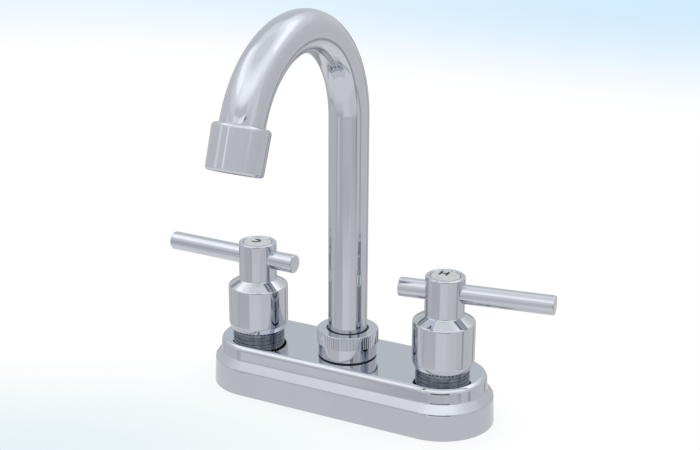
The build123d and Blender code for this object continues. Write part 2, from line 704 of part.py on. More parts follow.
def spout_nut():
    """The nut that holds the spout: a straight-knurled band over a plain one."""
    knurl_z = NUT_TOP_Z - NUT_KNURL_HEIGHT
    lip_z = NUT_TOP_Z - NUT_LIP_THICKNESS
    root = NUT_RADIUS - NUT_KNURL_DEPTH
    blank = turned(
        [(0, knurl_z), (NUT_RADIUS, knurl_z), (NUT_RADIUS, NUT_TOP_Z), (0, NUT_TOP_Z)],
        {2: NUT_TOP_RADIUS},
    )
    shares = (NUT_TIP_SHARE, NUT_ROOT_SHARE)
    knurled = blank & toothed(NUT_RADIUS, root, NUT_TEETH, *shares, knurl_z, NUT_TOP_Z)
    nut = knurled + rod(NUT_PLAIN_RADIUS, NUT_FOOT_Z, knurl_z)
    nut -= rod(HUB_NECK_RADIUS + SEAT_CLEARANCE, NUT_FOOT_Z, lip_z)
    return nut - rod(NUT_OPENING_RADIUS, lip_z, NUT_TOP_Z)


def spout_nut_washer():
    """The thin rubber washer between the nut and the deck."""
    return sleeve(NUT_WASHER_RADIUS, HUB_NECK_RADIUS + COVER_HOLE_CLEARANCE, DECK_Z, NUT_FOOT_Z)


def spout_slip_ring():
    """The plastic ring that guides the tube in the nut."""
    bore = TUBE_RADIUS + RUNNING_CLEARANCE
    low = TUBE_FOOT_Z + RUNNING_CLEARANCE
    lip_z = NUT_TOP_Z - NUT_LIP_THICKNESS
    return turned([
        (bore, low),
        (SLIP_RING_FLANGE_RADIUS, low),
        (SLIP_RING_FLANGE_RADIUS, lip_z),
        (bore + SLIP_RING_WALL, lip_z),
        (bore + SLIP_RING_WALL, NUT_TOP_Z - SLIP_RING_DROP),
        (bore, NUT_TOP_Z - SLIP_RING_DROP),
    ])


def outlet_nipple():
    """The turned nipple on the tube's end that the aerator screws on to."""
    bore = TUBE_RADIUS + SEAT_CLEARANCE
    shelf = NIPPLE_FOOT - NIPPLE_SHELF
    outer = AERATOR_BORE_RADIUS - SEAT_CLEARANCE
    return turned([
        (bore, NIPPLE_DROP),
        (outer, NIPPLE_DROP),
        (outer, NIPPLE_FOOT),
        (TUBE_RADIUS - TUBE_WALL, NIPPLE_FOOT),
        (TUBE_RADIUS - TUBE_WALL, shelf),
        (bore, shelf),
    ])


def aerator_housing():
    """The tapering shell of the aerator."""
    foot = AERATOR_LENGTH - AERATOR_FOOT_CHAMFER
    return turned(
        [
            (AERATOR_BORE_RADIUS, 0),
            (AERATOR_RADIUS, 0),
            (AERATOR_FOOT_RADIUS, foot),
            (AERATOR_FOOT_RADIUS - AERATOR_FOOT_CHAMFER, AERATOR_LENGTH),
            (AERATOR_LIP_RADIUS, AERATOR_LENGTH),
            (AERATOR_LIP_RADIUS, AERATOR_LIP),
            (AERATOR_BORE_RADIUS, AERATOR_LIP),
        ],
        {1: AERATOR_TOP_ROUNDING},
    )


def aerator_washer():
    """The rubber washer under the nipple."""
    outer = AERATOR_BORE_RADIUS - RUNNING_CLEARANCE
    return sleeve(outer, AERATOR_WASHER_BORE_RADIUS, NIPPLE_FOOT, NIPPLE_FOOT + AERATOR_WASHER_THICKNESS)


def aerator_screen():
    """The perforated steel screen under the washer."""
    low = NIPPLE_FOOT + AERATOR_WASHER_THICKNESS
    high = low + SCREEN_THICKNESS
    screen = rod(AERATOR_BORE_RADIUS - RUNNING_CLEARANCE, low, high)
    return screen - hole_grid(SCREEN_HOLE_RADIUS, SCREEN_HOLE_PITCH, low, high)


def aerator_insert():
    """The plastic insert whose holes show in the outlet."""
    low = NIPPLE_FOOT + AERATOR_WASHER_THICKNESS + SCREEN_THICKNESS
    foot = AERATOR_LENGTH - INSERT_PROUD
    insert = rod(AERATOR_BORE_RADIUS - RUNNING_CLEARANCE, low, AERATOR_LIP)
    insert += rod(AERATOR_LIP_RADIUS - RUNNING_CLEARANCE, AERATOR_LIP, foot)
    return insert - hole_grid(INSERT_HOLE_RADIUS, INSERT_HOLE_PITCH, low, foot)


def write(node, *solids):
    """Write one sub-part to its file."""
    shape = solids[0] if len(solids) == 1 else Compound(children=list(solids))
    export_step(shape, f"parts/{node}.step")


def write_valve(side, place, lever_angle, towards_hub):
    """Write every piece of one valve and its handle."""
    def turned_in(solid):
        return place(Rot(0, 0, lever_angle) * solid)

    write(f"{side}_valve_body", place(valve_body(towards_hub)))
    write(f"{side}_bonnet_ring", place(bonnet_ring()))
    write(f"{side}_seat_seal", place(seat_seal()))
    write(f"{side}_cartridge_body", turned_in(cartridge_body()))
    write(f"{side}_fixed_disc", turned_in(ceramic_disc(CARTRIDGE_FOOT_Z, 0)))
    write(f"{side}_moving_disc", turned_in(moving_disc()))
    write(f"{side}_spindle", turned_in(spindle()))
    write(f"{side}_spindle_o_ring", turned_in(spindle_o_ring()))
    write(f"{side}_handle_bell", turned_in(handle_casting()))
    write(f"{side}_handle_lever", turned_in(handle_rod(LEVER_REACH)))
    write(f"{side}_handle_stub", turned_in(Rot(0, 0, 180) * handle_rod(STUB_REACH)))
    write(f"{side}_index_button", turned_in(index_button()))
    write(f"{side}_handle_screw", turned_in(handle_screw()))


def write_spout():
    """Write every piece of the spout and of what holds it."""
    path = spout_path()
    along = path % 1
    top_face = (path @ 1) - along * (NIPPLE_FOOT - NIPPLE_SHELF)
    outlet = Plane(top_face, x_dir=(1, 0, 0), z_dir=along)
    write("spout_tube", spout_tube(path))
    write("spout_tail", spout_tail())
    write("spout_o_rings", *spout_o_rings())
    write("spout_nut", spout_nut())
    write("spout_nut_washer", spout_nut_washer())
    write("spout_slip_ring", spout_slip_ring())
    write("outlet_nipple", outlet * outlet_nipple())
    write("aerator_housing", outlet * aerator_housing())
    write("aerator_washer", outlet * aerator_washer())
    write("aerator_screen", outlet * aerator_screen())
    write("aerator_insert", outlet * aerator_insert())


def write_base():
    """Write the base and what it holds."""
    write("base_cover", base_cover())
    write("base_gasket", base_gasket())
    write("spout_hub", spout_hub())
    write("hot_crossover_pipe", crossover_pipe())
    write("cold_crossover_pipe", Rot(0, 0, 180) * crossover_pipe())
    write("deck_washers", at_cold(deck_washer()), at_hot(deck_washer()))
    write("deck_locknuts", at_cold(locknut()), at_hot(locknut()))


os.makedirs("parts", exist_ok=True)
write_base()
write_valve("cold", at_cold, COLD_LEVER_ANGLE, 0)
write_valve("hot", at_hot, HOT_LEVER_ANGLE, 180)
write_spout()
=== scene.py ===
"""Looks of a centreset basin tap: chrome shells, dull rings, inner works, pale room and camera."""

import logging
import math
from dataclasses import dataclass, field
from enum import Enum
from typing import Iterable, Optional, Sequence

import bmesh
import bpy
from bmesh.types import BMEdge, BMesh, BMVert
from mathutils import Matrix, Vector


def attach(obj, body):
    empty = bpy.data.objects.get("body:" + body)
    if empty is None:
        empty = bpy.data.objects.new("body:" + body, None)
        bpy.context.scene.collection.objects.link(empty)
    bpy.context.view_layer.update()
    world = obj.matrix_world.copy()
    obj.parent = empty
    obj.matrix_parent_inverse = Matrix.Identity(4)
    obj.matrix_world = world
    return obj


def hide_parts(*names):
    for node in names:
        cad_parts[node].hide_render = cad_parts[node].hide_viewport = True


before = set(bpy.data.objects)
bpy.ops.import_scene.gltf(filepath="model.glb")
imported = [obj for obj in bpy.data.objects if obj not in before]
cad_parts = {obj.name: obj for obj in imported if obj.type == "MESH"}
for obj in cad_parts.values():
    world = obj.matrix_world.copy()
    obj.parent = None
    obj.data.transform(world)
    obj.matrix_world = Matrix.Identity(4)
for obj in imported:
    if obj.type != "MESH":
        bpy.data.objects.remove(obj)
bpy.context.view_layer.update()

MM = 0.001
MERGE_DISTANCE = 0.0000008
FULL_TURN = 2 * math.pi
HALF_TURN = math.pi
QUARTER_TURN = math.pi / 2
HALF_CIRCLE = 180.0
IN_DEGREES = HALF_CIRCLE / math.pi
ROUND_STEPS = 160
DISC_STEPS = 96
TOOTH_EDGES = 4
ARC_SEGMENTS = 7
SHARP_ANGLE = math.radians(32)
MARKS_START = 0.38
MARKS_END = 0.68
MARKS_DETAIL = 4.0

Socket = bpy.types.NodeSocket

log = logging.getLogger("basin_tap")


class Body(Enum):
    """The bodies that the pieces ride on."""

    BASE = "base"
    COLD = "cold_handle"
    HOT = "hot_handle"
    SPOUT = "spout"


@dataclass(frozen=True)
class Corner:
    """A corner of a turned outline: its radius, its height and how far it is rounded, in mm."""

    radius: float
    height: float
    rounding: float = 0.0


# Shape tools


def outline(mesh: BMesh, corners: Sequence[Corner], closed: bool = False) -> list[BMEdge]:
    """Draw a wire in the XZ plane through the corners and round the ones that ask for it.

    Args:
        mesh: The mesh that takes the wire.
        corners: The corners in order along the wire.
        closed: Whether the last corner joins the first.

    Returns:
        Every edge of the mesh, the wire included.
    """
    points = [Vector((c.radius * MM, 0, c.height * MM)) for c in corners]
    verts = [bmesh.ops.create_vert(mesh, co=p)["vert"][0] for p in points]
    count = len(verts)
    for place in range(count if closed else count - 1):
        mesh.edges.new((verts[place], verts[(place + 1) % count]))
    for place, corner in enumerate(corners):
        if corner.rounding:
            before = points[place - 1] - points[place]
            after = points[(place + 1) % count] - points[place]
            reach = corner.rounding * MM / math.tan(before.angle(after) / 2)
            bmesh.ops.bevel(
                mesh, geom=[verts[place]], offset=reach, offset_type="OFFSET",
                segments=ARC_SEGMENTS, profile=0.5, affect="VERTICES", material=-1,
            )
    return mesh.edges[:]


def close_up(mesh: BMesh) -> None:
    """Merge coinciding vertices and point every face outwards."""
    bmesh.ops.remove_doubles(mesh, verts=mesh.verts[:], dist=MERGE_DISTANCE)
    bmesh.ops.recalc_face_normals(mesh, faces=mesh.faces[:])


def spun(
    mesh: BMesh, geometry: Sequence, steps: int, angle: float = FULL_TURN, copies: bool = False
) -> None:
    """Sweep geometry about Z, or repeat it about Z.

    Args:
        mesh: The mesh.
        geometry: What is swept or repeated.
        steps: How many steps the turn has.
        angle: How far it turns, in radians.
        copies: Whether it leaves separate copies instead of a swept surface.
    """
    bmesh.ops.spin(
        mesh, geom=geometry, cent=(0, 0, 0), axis=(0, 0, 1), dvec=(0, 0, 0), angle=angle, steps=steps,
        use_merge=angle == FULL_TURN and not copies, use_duplicate=copies,
    )


def turned(corners: Sequence[Corner], closed: bool = True, steps: int = ROUND_STEPS) -> BMesh:
    """Turn an outline about Z into a closed shell.

    Args:
        corners: The outline, which either closes on itself or has both ends on the axis.
        closed: Whether the outline closes on itself.
        steps: How many flats the full turn has.

    Returns:
        The shell.
    """
    mesh = bmesh.new()
    outline(mesh, corners, closed)
    spun(mesh, mesh.verts[:] + mesh.edges[:], steps)
    close_up(mesh)
    return mesh


def edges_of(geometry: Iterable) -> list[BMEdge]:
    """Pick the edges out of an operator's result."""
    return [item for item in geometry if isinstance(item, BMEdge)]


def verts_of(geometry: Iterable) -> list[BMVert]:
    """Pick the vertices out of an operator's result."""
    return [item for item in geometry if isinstance(item, BMVert)]


def pull(mesh: BMesh, edges: Sequence[BMEdge], step: Vector) -> list[BMEdge]:
    """Extrude edges straight along a step.

    Args:
        mesh: The mesh.
        edges: The edges to extrude.
        step: How far and which way, in metres.

    Returns:
        The edges at the far side.
    """
    moved = bmesh.ops.extrude_edge_only(mesh, edges=list(edges))["geom"]
    bmesh.ops.translate(mesh, vec=step, verts=verts_of(moved))
    return edges_of(moved)


def swing(
    mesh: BMesh, edges: Sequence[BMEdge], centre: Vector, axis: Vector, angle: float, steps: int
) -> list[BMEdge]:
    """Sweep edges round an axis.

    Args:
        mesh: The mesh.
        edges: The edges to sweep.
        centre: A point on the axis, in metres.
        axis: The axis.
        angle: How far, in radians.
        steps: How many flats the sweep has.

    Returns:
        The edges at the far side.
    """
    swept = bmesh.ops.spin(
        mesh, geom=list(edges), cent=centre, axis=axis, dvec=(0, 0, 0),
        angle=angle, steps=steps, use_merge=False, use_duplicate=False,
    )
    return edges_of(swept["geom_last"])


def ring_at(
    mesh: BMesh, radius: float, height: float, centre_x: float = 0.0, steps: int = ROUND_STEPS
) -> list[BMEdge]:
    """Draw a level circle.

    Args:
        mesh: The mesh.
        radius: Its radius in mm.
        height: Its level in mm.
        centre_x: Where its centre is along X, in mm.
        steps: How many edges it has.

    Returns:
        Its edges.
    """
    place = Matrix.Translation((centre_x * MM, 0, height * MM))
    made = bmesh.ops.create_circle(mesh, cap_ends=False, radius=radius * MM, segments=steps, matrix=place)
    return list({edge for vert in made["verts"] for edge in vert.link_edges})


def toothed_ring(
    mesh: BMesh, tip: float, root: float, teeth: int, tip_share: float, root_share: float, height: float
) -> list[BMEdge]:
    """Draw a level ring of teeth: one tooth's outline, repeated round the axis.

    Args:
        mesh: The mesh.
        tip: Radius of the teeth's tips in mm.
        root: Radius between the teeth in mm.
        teeth: How many teeth.
        tip_share: How much of the pitch a tip takes.
        root_share: How much of the pitch a gap's floor takes.
        height: Its level in mm.

    Returns:
        Its edges.
    """
    pitch = FULL_TURN / teeth
    steps = [
        (-tip_share / 2, tip),
        (tip_share / 2, tip),
        (0.5 - root_share / 2, root),
        (0.5 + root_share / 2, root),
        (1 - tip_share / 2, tip),
    ]
    verts = []
    for share, radius in steps:
        angle = share * pitch
        spot = Vector((radius * math.cos(angle), radius * math.sin(angle), height)) * MM
        verts.append(bmesh.ops.create_vert(mesh, co=spot)["vert"][0])
    tooth = [mesh.edges.new(pair) for pair in zip(verts, verts[1:])]
    before = set(mesh.edges) - set(tooth)
    spun(mesh, verts + tooth, teeth, copies=True)
    ring_verts = list({vert for edge in set(mesh.edges) - before for vert in edge.verts})
    bmesh.ops.remove_doubles(mesh, verts=ring_verts, dist=MERGE_DISTANCE)
    return [edge for edge in mesh.edges if edge not in before]


def bridge(mesh: BMesh, edges: Sequence[BMEdge]) -> None:
    """Join two rings of edges with a strip of faces."""
    bmesh.ops.bridge_loops(mesh, edges=list(edges))


def fill_level(mesh: BMesh, edges: Sequence[BMEdge]) -> None:
    """Fill a level outline, with the rings inside it left as holes."""
    bmesh.ops.triangle_fill(
        mesh, use_beauty=True, use_dissolve=False, edges=list(edges), normal=(0, 0, 1)
    )


def rim_edges(mesh: BMesh, height: float) -> list[BMEdge]:
    """Find the open edges at a level in mm."""
    level = height * MM
    return [
        edge for edge in mesh.edges
        if len(edge.link_faces) < 2
        and all(abs(vert.co.z - level) < MERGE_DISTANCE for vert in edge.verts)
    ]


def linked(name: str, data: bpy.types.ID) -> bpy.types.Object:
    """Put data into the scene as an object."""
    made = bpy.data.objects.new(name, data)
    bpy.context.scene.collection.objects.link(made)
    return made


def shaped(name: str, mesh: BMesh) -> bpy.types.Object:
    """Put a mesh into the scene as an object, and use the mesh up."""
    data = bpy.data.meshes.new(name)
    mesh.to_mesh(data)
    mesh.free()
    return linked(name, data)


@dataclass
class Workshop:
    """Makes finished pieces out of meshes and keeps the materials.

    Attributes:
        finishes: Each finish's material by its slot.
    """

    finishes: dict[str, bpy.types.Material] = field(default_factory=dict)

    def piece(
        self, name: str, mesh: BMesh, body: Body, slot: str,
        replaces: Sequence[str] = (), place: Optional[Matrix] = None, material: Optional[str] = None,
        lining: Optional[str] = None,
    ) -> bpy.types.Object:
        """Turn a mesh into a piece of the tap.

        Args:
            name: The piece's name.
            mesh: Its mesh, which is used up.
            body: What it rides on.
            slot: The record's slot that it takes its finish from.
            replaces: The plainer nodes that it stands for.
            place: Where it goes, baked into the mesh.
            material: The finish, if it isn't the slot's.
            lining: The finish of the faces marked as its inside; on the handles, a near-black painted
                shade.

        Returns:
            The piece.
        """
        if place is not None:
            bmesh.ops.transform(mesh, matrix=place, verts=mesh.verts[:])
        for face in mesh.faces:
            face.smooth = True
        for edge in mesh.edges:
            edge.smooth = len(edge.link_faces) == 2 and edge.calc_face_angle(0.0) < SHARP_ANGLE
        made = shaped(name, mesh)
        made.data.materials.append(self.finishes[material or slot])
        if lining:
            made.data.materials.append(self.finishes[lining])
        level = made.modifiers.new("level_faces", "WEIGHTED_NORMAL")
        level.keep_sharp = True
        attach(made, body.value)
        if replaces:
            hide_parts(*replaces)
        log.info("%s: %d faces on %s", name, len(made.data.polygons), body.value)
        return made

    def dress(self, node: str, slot: str) -> None:
        """Give a kept node its finish."""
        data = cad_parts[node].data
        data.materials.clear()
        data.materials.append(self.finishes[slot])
        log.info("%s: kept, in %s", node, slot)


# Materials


class Wiring:
    """Adds nodes to a tree and joins them."""

    def __init__(self, tree: bpy.types.NodeTree) -> None:
        """Start on a tree.

        Args:
            tree: The node tree to add to.
        """
        self.tree = tree

    def node(self, kind: str, **settings: object) -> bpy.types.Node:
        """Add a node.

        Args:
            kind: The node's type.
            **settings: Properties set on the node.

        Returns:
            The node.
        """
        made = self.tree.nodes.new(kind)
        for name, value in settings.items():
            setattr(made, name, value)
        return made

    def feed(self, socket: Socket, value: object) -> None:
        """Join an output to a socket, or set the socket to a plain value."""
        if isinstance(value, Socket):
            self.tree.links.new(value, socket)
        else:
            socket.default_value = value

    def math(self, operation: str, *values: object) -> Socket:
        """Work out a number.

        Args:
            operation: The operation's name.
            *values: Its inputs, in order.

        Returns:
            The result's socket.
        """
        made = self.node("ShaderNodeMath", operation=operation)
        for place, value in enumerate(values):
            self.feed(made.inputs[place], value)
        return made.outputs[0]

    def vector(self, operation: str, *values: object) -> bpy.types.Node:
        """Add a vector operation.

        Args:
            operation: The operation's name.
            *values: Its inputs, in order.

        Returns:
            The node, which has one output for a vector and one for a number.
        """
        made = self.node("ShaderNodeVectorMath", operation=operation)
        for place, value in enumerate(values):
            self.feed(made.inputs[place], value)
        return made

    def ease(self, value: object, start: object, end: object) -> Socket:
        """Map a value from start..end to 0..1 along a soft step."""
        made = self.node("ShaderNodeMapRange", interpolation_type="SMOOTHSTEP")
        for name, item in (("Value", value), ("From Min", start), ("From Max", end)):
            self.feed(made.inputs[name], item)
        return made.outputs["Result"]

    def blend(self, share: object, first: object, second: object) -> Socket:
        """Mix two colours by a share."""
        made = self.node("ShaderNodeMix", data_type="RGBA")
        self.feed(made.inputs[0], share)
        self.feed(made.inputs[6], first)
        self.feed(made.inputs[7], second)
        return made.outputs[2]

    def noise(self, where: object, scale: float, detail: float = 2.0) -> Socket:
        """Add a noise pattern and return its value."""
        made = self.node("ShaderNodeTexNoise")
        self.feed(made.inputs["Vector"], where)
        self.feed(made.inputs["Scale"], scale)
        self.feed(made.inputs["Detail"], detail)
        return made.outputs["Fac"]


EFFECT_INPUTS = {
    "Smooth": ("smooth", "NodeSocketFloat"),
    "Dull": ("dull", "NodeSocketFloat"),
    "Mark Scale": ("mark_scale", "NodeSocketFloat"),
    "Grain Scale": ("grain_scale", "NodeSocketFloat"),
    "Grain Height": ("grain_height", "NodeSocketFloat"),
    "Stretch": ("stretch", "NodeSocketVector"),
}
EFFECT_OUTPUTS = {"Roughness": "NodeSocketFloat", "Marks": "NodeSocketFloat", "Normal": "NodeSocketVector"}


def surface_group() -> bpy.types.NodeTree:
    """Build the effect that every finish shares: handling marks and fine grain."""
    group = bpy.data.node_groups.new("handled_surface", "ShaderNodeTree")
    for name, (_, kind) in EFFECT_INPUTS.items():
        group.interface.new_socket(name=name, in_out="INPUT", socket_type=kind)
    for name, kind in EFFECT_OUTPUTS.items():
        group.interface.new_socket(name=name, in_out="OUTPUT", socket_type=kind)
    wire = Wiring(group)
    inputs = wire.node("NodeGroupInput")
    outputs = wire.node("NodeGroupOutput")
    place = wire.node("ShaderNodeTexCoord").outputs["Object"]
    stretched = wire.vector("MULTIPLY", place, inputs.outputs["Stretch"])
    marks = wire.noise(place, inputs.outputs["Mark Scale"], MARKS_DETAIL)
    contrast = wire.ease(marks, MARKS_START, MARKS_END)
    rough = wire.node("ShaderNodeMix", data_type="FLOAT")
    wire.feed(rough.inputs[0], contrast)
    wire.feed(rough.inputs[2], inputs.outputs["Smooth"])
    wire.feed(rough.inputs[3], inputs.outputs["Dull"])
    grain = wire.noise(stretched.outputs[0], inputs.outputs["Grain Scale"])
    bump = wire.node("ShaderNodeBump")
    wire.feed(bump.inputs["Height"], grain)
    wire.feed(bump.inputs["Distance"], inputs.outputs["Grain Height"])
    wire.feed(outputs.inputs["Roughness"], rough.outputs[0])
    wire.feed(outputs.inputs["Marks"], contrast)
    wire.feed(outputs.inputs["Normal"], bump.outputs[0])
    return group


@dataclass(frozen=True)
class Finish:
    """One finish: its two colours, gloss and grain.

    Attributes:
        slot: The record's slot.
        colour: Its colour where it is clean.
        worn: Its colour where it is handled or dusty.
        metallic: 1 for bare metal.
        smooth: Roughness where it is clean.
        dull: Roughness where it is handled.
        mark_scale: How fine the marks are, per metre.
        grain_scale: How fine the grain is, per metre.
        grain_height: How deep the grain is, in metres.
        stretch: How the grain is drawn out along X, Y and Z.
    """

    slot: str
    colour: tuple[float, float, float]
    worn: tuple[float, float, float]
    metallic: float = 0.0
    smooth: float = 0.4
    dull: float = 0.55
    mark_scale: float = 60.0
    grain_scale: float = 900.0
    grain_height: float = 0.00001
    stretch: tuple[float, float, float] = (1.0, 1.0, 1.0)

    def material(self, group: bpy.types.NodeTree) -> bpy.types.Material:
        """Build the finish's material.

        Args:
            group: The shared surface effect.

        Returns:
            The material.
        """
        made = bpy.data.materials.new(self.slot)
        made.use_nodes = True
        wire = Wiring(made.node_tree)
        shader = made.node_tree.nodes["Principled BSDF"]
        effect = wire.node("ShaderNodeGroup", node_tree=group)
        for name, (source, _) in EFFECT_INPUTS.items():
            effect.inputs[name].default_value = getattr(self, source)
        tint = wire.blend(effect.outputs["Marks"], (*self.colour, 1), (*self.worn, 1))
        wire.feed(shader.inputs["Base Color"], tint)
        wire.feed(shader.inputs["Roughness"], effect.outputs["Roughness"])
        wire.feed(shader.inputs["Normal"], effect.outputs["Normal"])
        shader.inputs["Metallic"].default_value = self.metallic
        return made


FINISHES = (
    Finish(
        "chrome", (0.58, 0.602, 0.652), (0.565, 0.588, 0.638), 1.0,
        0.04, 0.07, 45.0, 300.0, 0.0000006,
    ),
    Finish(
        "zinc", (0.245, 0.265, 0.305), (0.165, 0.18, 0.21), 1.0,
        0.13, 0.22, 420.0, 2600.0, 0.000004, (0.1, 0.1, 1.6),
    ),
    # Bare casting inside the handle bells, painted near-black as the shade that falls under the bell.
    Finish(
        "raw_casting_painted_shade", (0.05, 0.05, 0.055), (0.03, 0.03, 0.034), 1.0,
        0.50, 0.65, 300.0, 2400.0, 0.00002,
    ),
    Finish(
        "brass", (0.76, 0.56, 0.27), (0.60, 0.42, 0.19), 1.0,
        0.20, 0.36, 120.0, 1800.0, 0.000012, (1, 1, 12),
    ),
    Finish(
        "stainless", (0.62, 0.62, 0.63), (0.50, 0.50, 0.51), 1.0,
        0.22, 0.34, 200.0, 2400.0, 0.000008,
    ),
    Finish(
        "disc_ceramic", (0.88, 0.87, 0.83), (0.80, 0.79, 0.75), 0.0,
        0.16, 0.28, 160.0, 2600.0, 0.000003,
    ),
    Finish(
        "white_plastic", (0.60, 0.61, 0.60), (0.54, 0.55, 0.545), 0.0,
        0.34, 0.46, 260.0, 2200.0, 0.000004,
    ),
    Finish(
        "grey_plastic", (0.36, 0.37, 0.38), (0.29, 0.30, 0.31), 0.0,
        0.45, 0.60, 220.0, 2400.0, 0.000008,
    ),
    Finish(
        "black_plastic", (0.018, 0.018, 0.02), (0.035, 0.035, 0.037), 0.0,
        0.38, 0.55, 220.0, 2400.0, 0.000008,
    ),
    Finish(
        "black_rubber", (0.016, 0.016, 0.017), (0.04, 0.04, 0.041), 0.0,
        0.60, 0.78, 300.0, 3200.0, 0.00002,
    ),
    Finish(
        "index_ink", (0.012, 0.012, 0.013), (0.03, 0.03, 0.032), 0.0,
        0.40, 0.55, 500.0, 3000.0, 0.000004,
    ),
)


# Sub-assemblies, with sizes in mm that lie on or inside the solids they cover, but for small differences


@dataclass
class Base:
    """The stepped obround cover and the two castellated rings that clamp it."""

    valve_x: float = 50.8
    centre_y: float = 2.9
    end_arc_x: float = 48.4
    foot_half_width: float = 26.2
    foot_draft: float = 0.6
    ledge_foot: float = 12.8
    ledge_rise: float = 4.2
    ledge_depth: float = 3.0
    deck_draft: float = 0.5
    deck: float = 24.0
    wall: float = 2.2
    ledge_foot_radius: float = 1.3
    ledge_top_radius: float = 1.6
    deck_edge_radius: float = 2.8
    flat_margin: float = 4.2
    valve_hole: float = 11.0
    hub_hole: float = 11.6
    end_steps: int = 96
    ring_radius: float = 12.9
    ring_bore: float = 10.72
    ring_top: float = 30.0
    grooves: tuple[float, ...] = (24.9, 26.5)
    groove_width: float = 0.3
    groove_depth: float = 0.3
    notches: int = 44
    notch_depth: float = 0.9
    notch_height: float = 2.0
    tip_share: float = 0.5
    root_share: float = 0.46
    tip_play: float = 0.001

    def side(self, inset: float, rounded: bool) -> list[Corner]:
        """List the cover's side from its foot to the flat of the deck.

        Args:
            inset: How far inside the outer skin the side lies, in mm.
            rounded: Whether the steps are rounded.

        Returns:
            The corners.
        """
        slope = math.atan2(self.ledge_rise, self.ledge_depth)
        drop = inset * math.tan((QUARTER_TURN - slope) / 2)
        foot = self.foot_half_width - inset
        shelf = foot - self.foot_draft
        wall = shelf - self.ledge_depth
        deck = wall - self.deck_draft
        low = self.ledge_foot - drop
        share = 1.0 if rounded else 0.0
        return [
            Corner(foot, 0),
            Corner(shelf, low, self.ledge_foot_radius * share),
            Corner(wall, low + self.ledge_rise, self.ledge_top_radius * share),
            Corner(deck, self.deck - inset, self.deck_edge_radius * share),
            Corner(deck - self.flat_margin, self.deck - inset),
        ]

    def cover(self) -> BMesh:
        """Build the shell: its side swept round the obround, and the deck filled round three holes."""
        mesh = bmesh.new()
        inner = self.side(self.wall, False)
        wire = outline(mesh, inner[::-1] + self.side(0, True))
        turn = Matrix.Rotation(-QUARTER_TURN, 4, "Z")
        start = Matrix.Translation((-self.end_arc_x * MM, 0, 0)) @ turn
        bmesh.ops.transform(mesh, matrix=start, verts=mesh.verts[:])
        length = Vector((2 * self.end_arc_x * MM, 0, 0))
        centre = Vector((self.end_arc_x * MM, 0, 0))
        up = Vector((0, 0, 1))
        front = pull(mesh, wire, length)
        right = swing(mesh, front, centre, up, HALF_TURN, self.end_steps)
        back = pull(mesh, right, -length)
        swing(mesh, back, -centre, up, HALF_TURN, self.end_steps)
        bmesh.ops.remove_doubles(mesh, verts=mesh.verts[:], dist=MERGE_DISTANCE)
        bmesh.ops.translate(mesh, vec=(0, self.centre_y * MM, 0), verts=mesh.verts[:])
        drop = Vector((0, 0, -self.wall * MM))
        valve_hole = self.valve_hole
        for x, radius in ((-self.valve_x, valve_hole), (0, self.hub_hole), (self.valve_x, valve_hole)):
            pull(mesh, ring_at(mesh, radius, self.deck, x), drop)
        for level in (self.deck, self.deck - self.wall):
            fill_level(mesh, rim_edges(mesh, level))
        close_up(mesh)
        return mesh

    def clamp_ring(self) -> BMesh:
        """Build a clamp ring: a turned band with two fine grooves, and castles on top."""
        mesh = bmesh.new()
        notch_foot = self.ring_top - self.notch_height
        grooved = self.ring_radius - self.groove_depth
        corners = [
            Corner(self.ring_bore, self.ring_top),
            Corner(self.ring_bore, self.deck),
            Corner(self.ring_radius, self.deck),
        ]
        for low in self.grooves:
            corners += [
                Corner(self.ring_radius, low),
                Corner(grooved, low),
                Corner(grooved, low + self.groove_width),
                Corner(self.ring_radius, low + self.groove_width),
            ]
        outline(mesh, corners + [Corner(self.ring_radius, notch_foot)])
        spun(mesh, mesh.verts[:] + mesh.edges[:], TOOTH_EDGES * self.notches)
        bore = rim_edges(mesh, self.ring_top)
        band = rim_edges(mesh, notch_foot)
        tip = self.ring_radius - self.tip_play
        root = self.ring_radius - self.notch_depth
        castles = toothed_ring(mesh, tip, root, self.notches, self.tip_share, self.root_share, notch_foot)
        top = pull(mesh, castles, Vector((0, 0, self.notch_height * MM)))
        bridge(mesh, band + castles)
        bridge(mesh, bore + top)
        close_up(mesh)
        return mesh

    def build(self, shop: Workshop) -> None:
        """Make the cover and the ring of each valve."""
        shop.piece("base_shell", self.cover(), Body.BASE, "chrome", ["base_cover"])
        for side, x in (("cold", -self.valve_x), ("hot", self.valve_x)):
            place = Matrix.Translation((x * MM, 0, 0))
            covered = [f"{side}_bonnet_ring"]
            shop.piece(f"{side}_clamp_ring", self.clamp_ring(), Body.BASE, "zinc", covered, place)


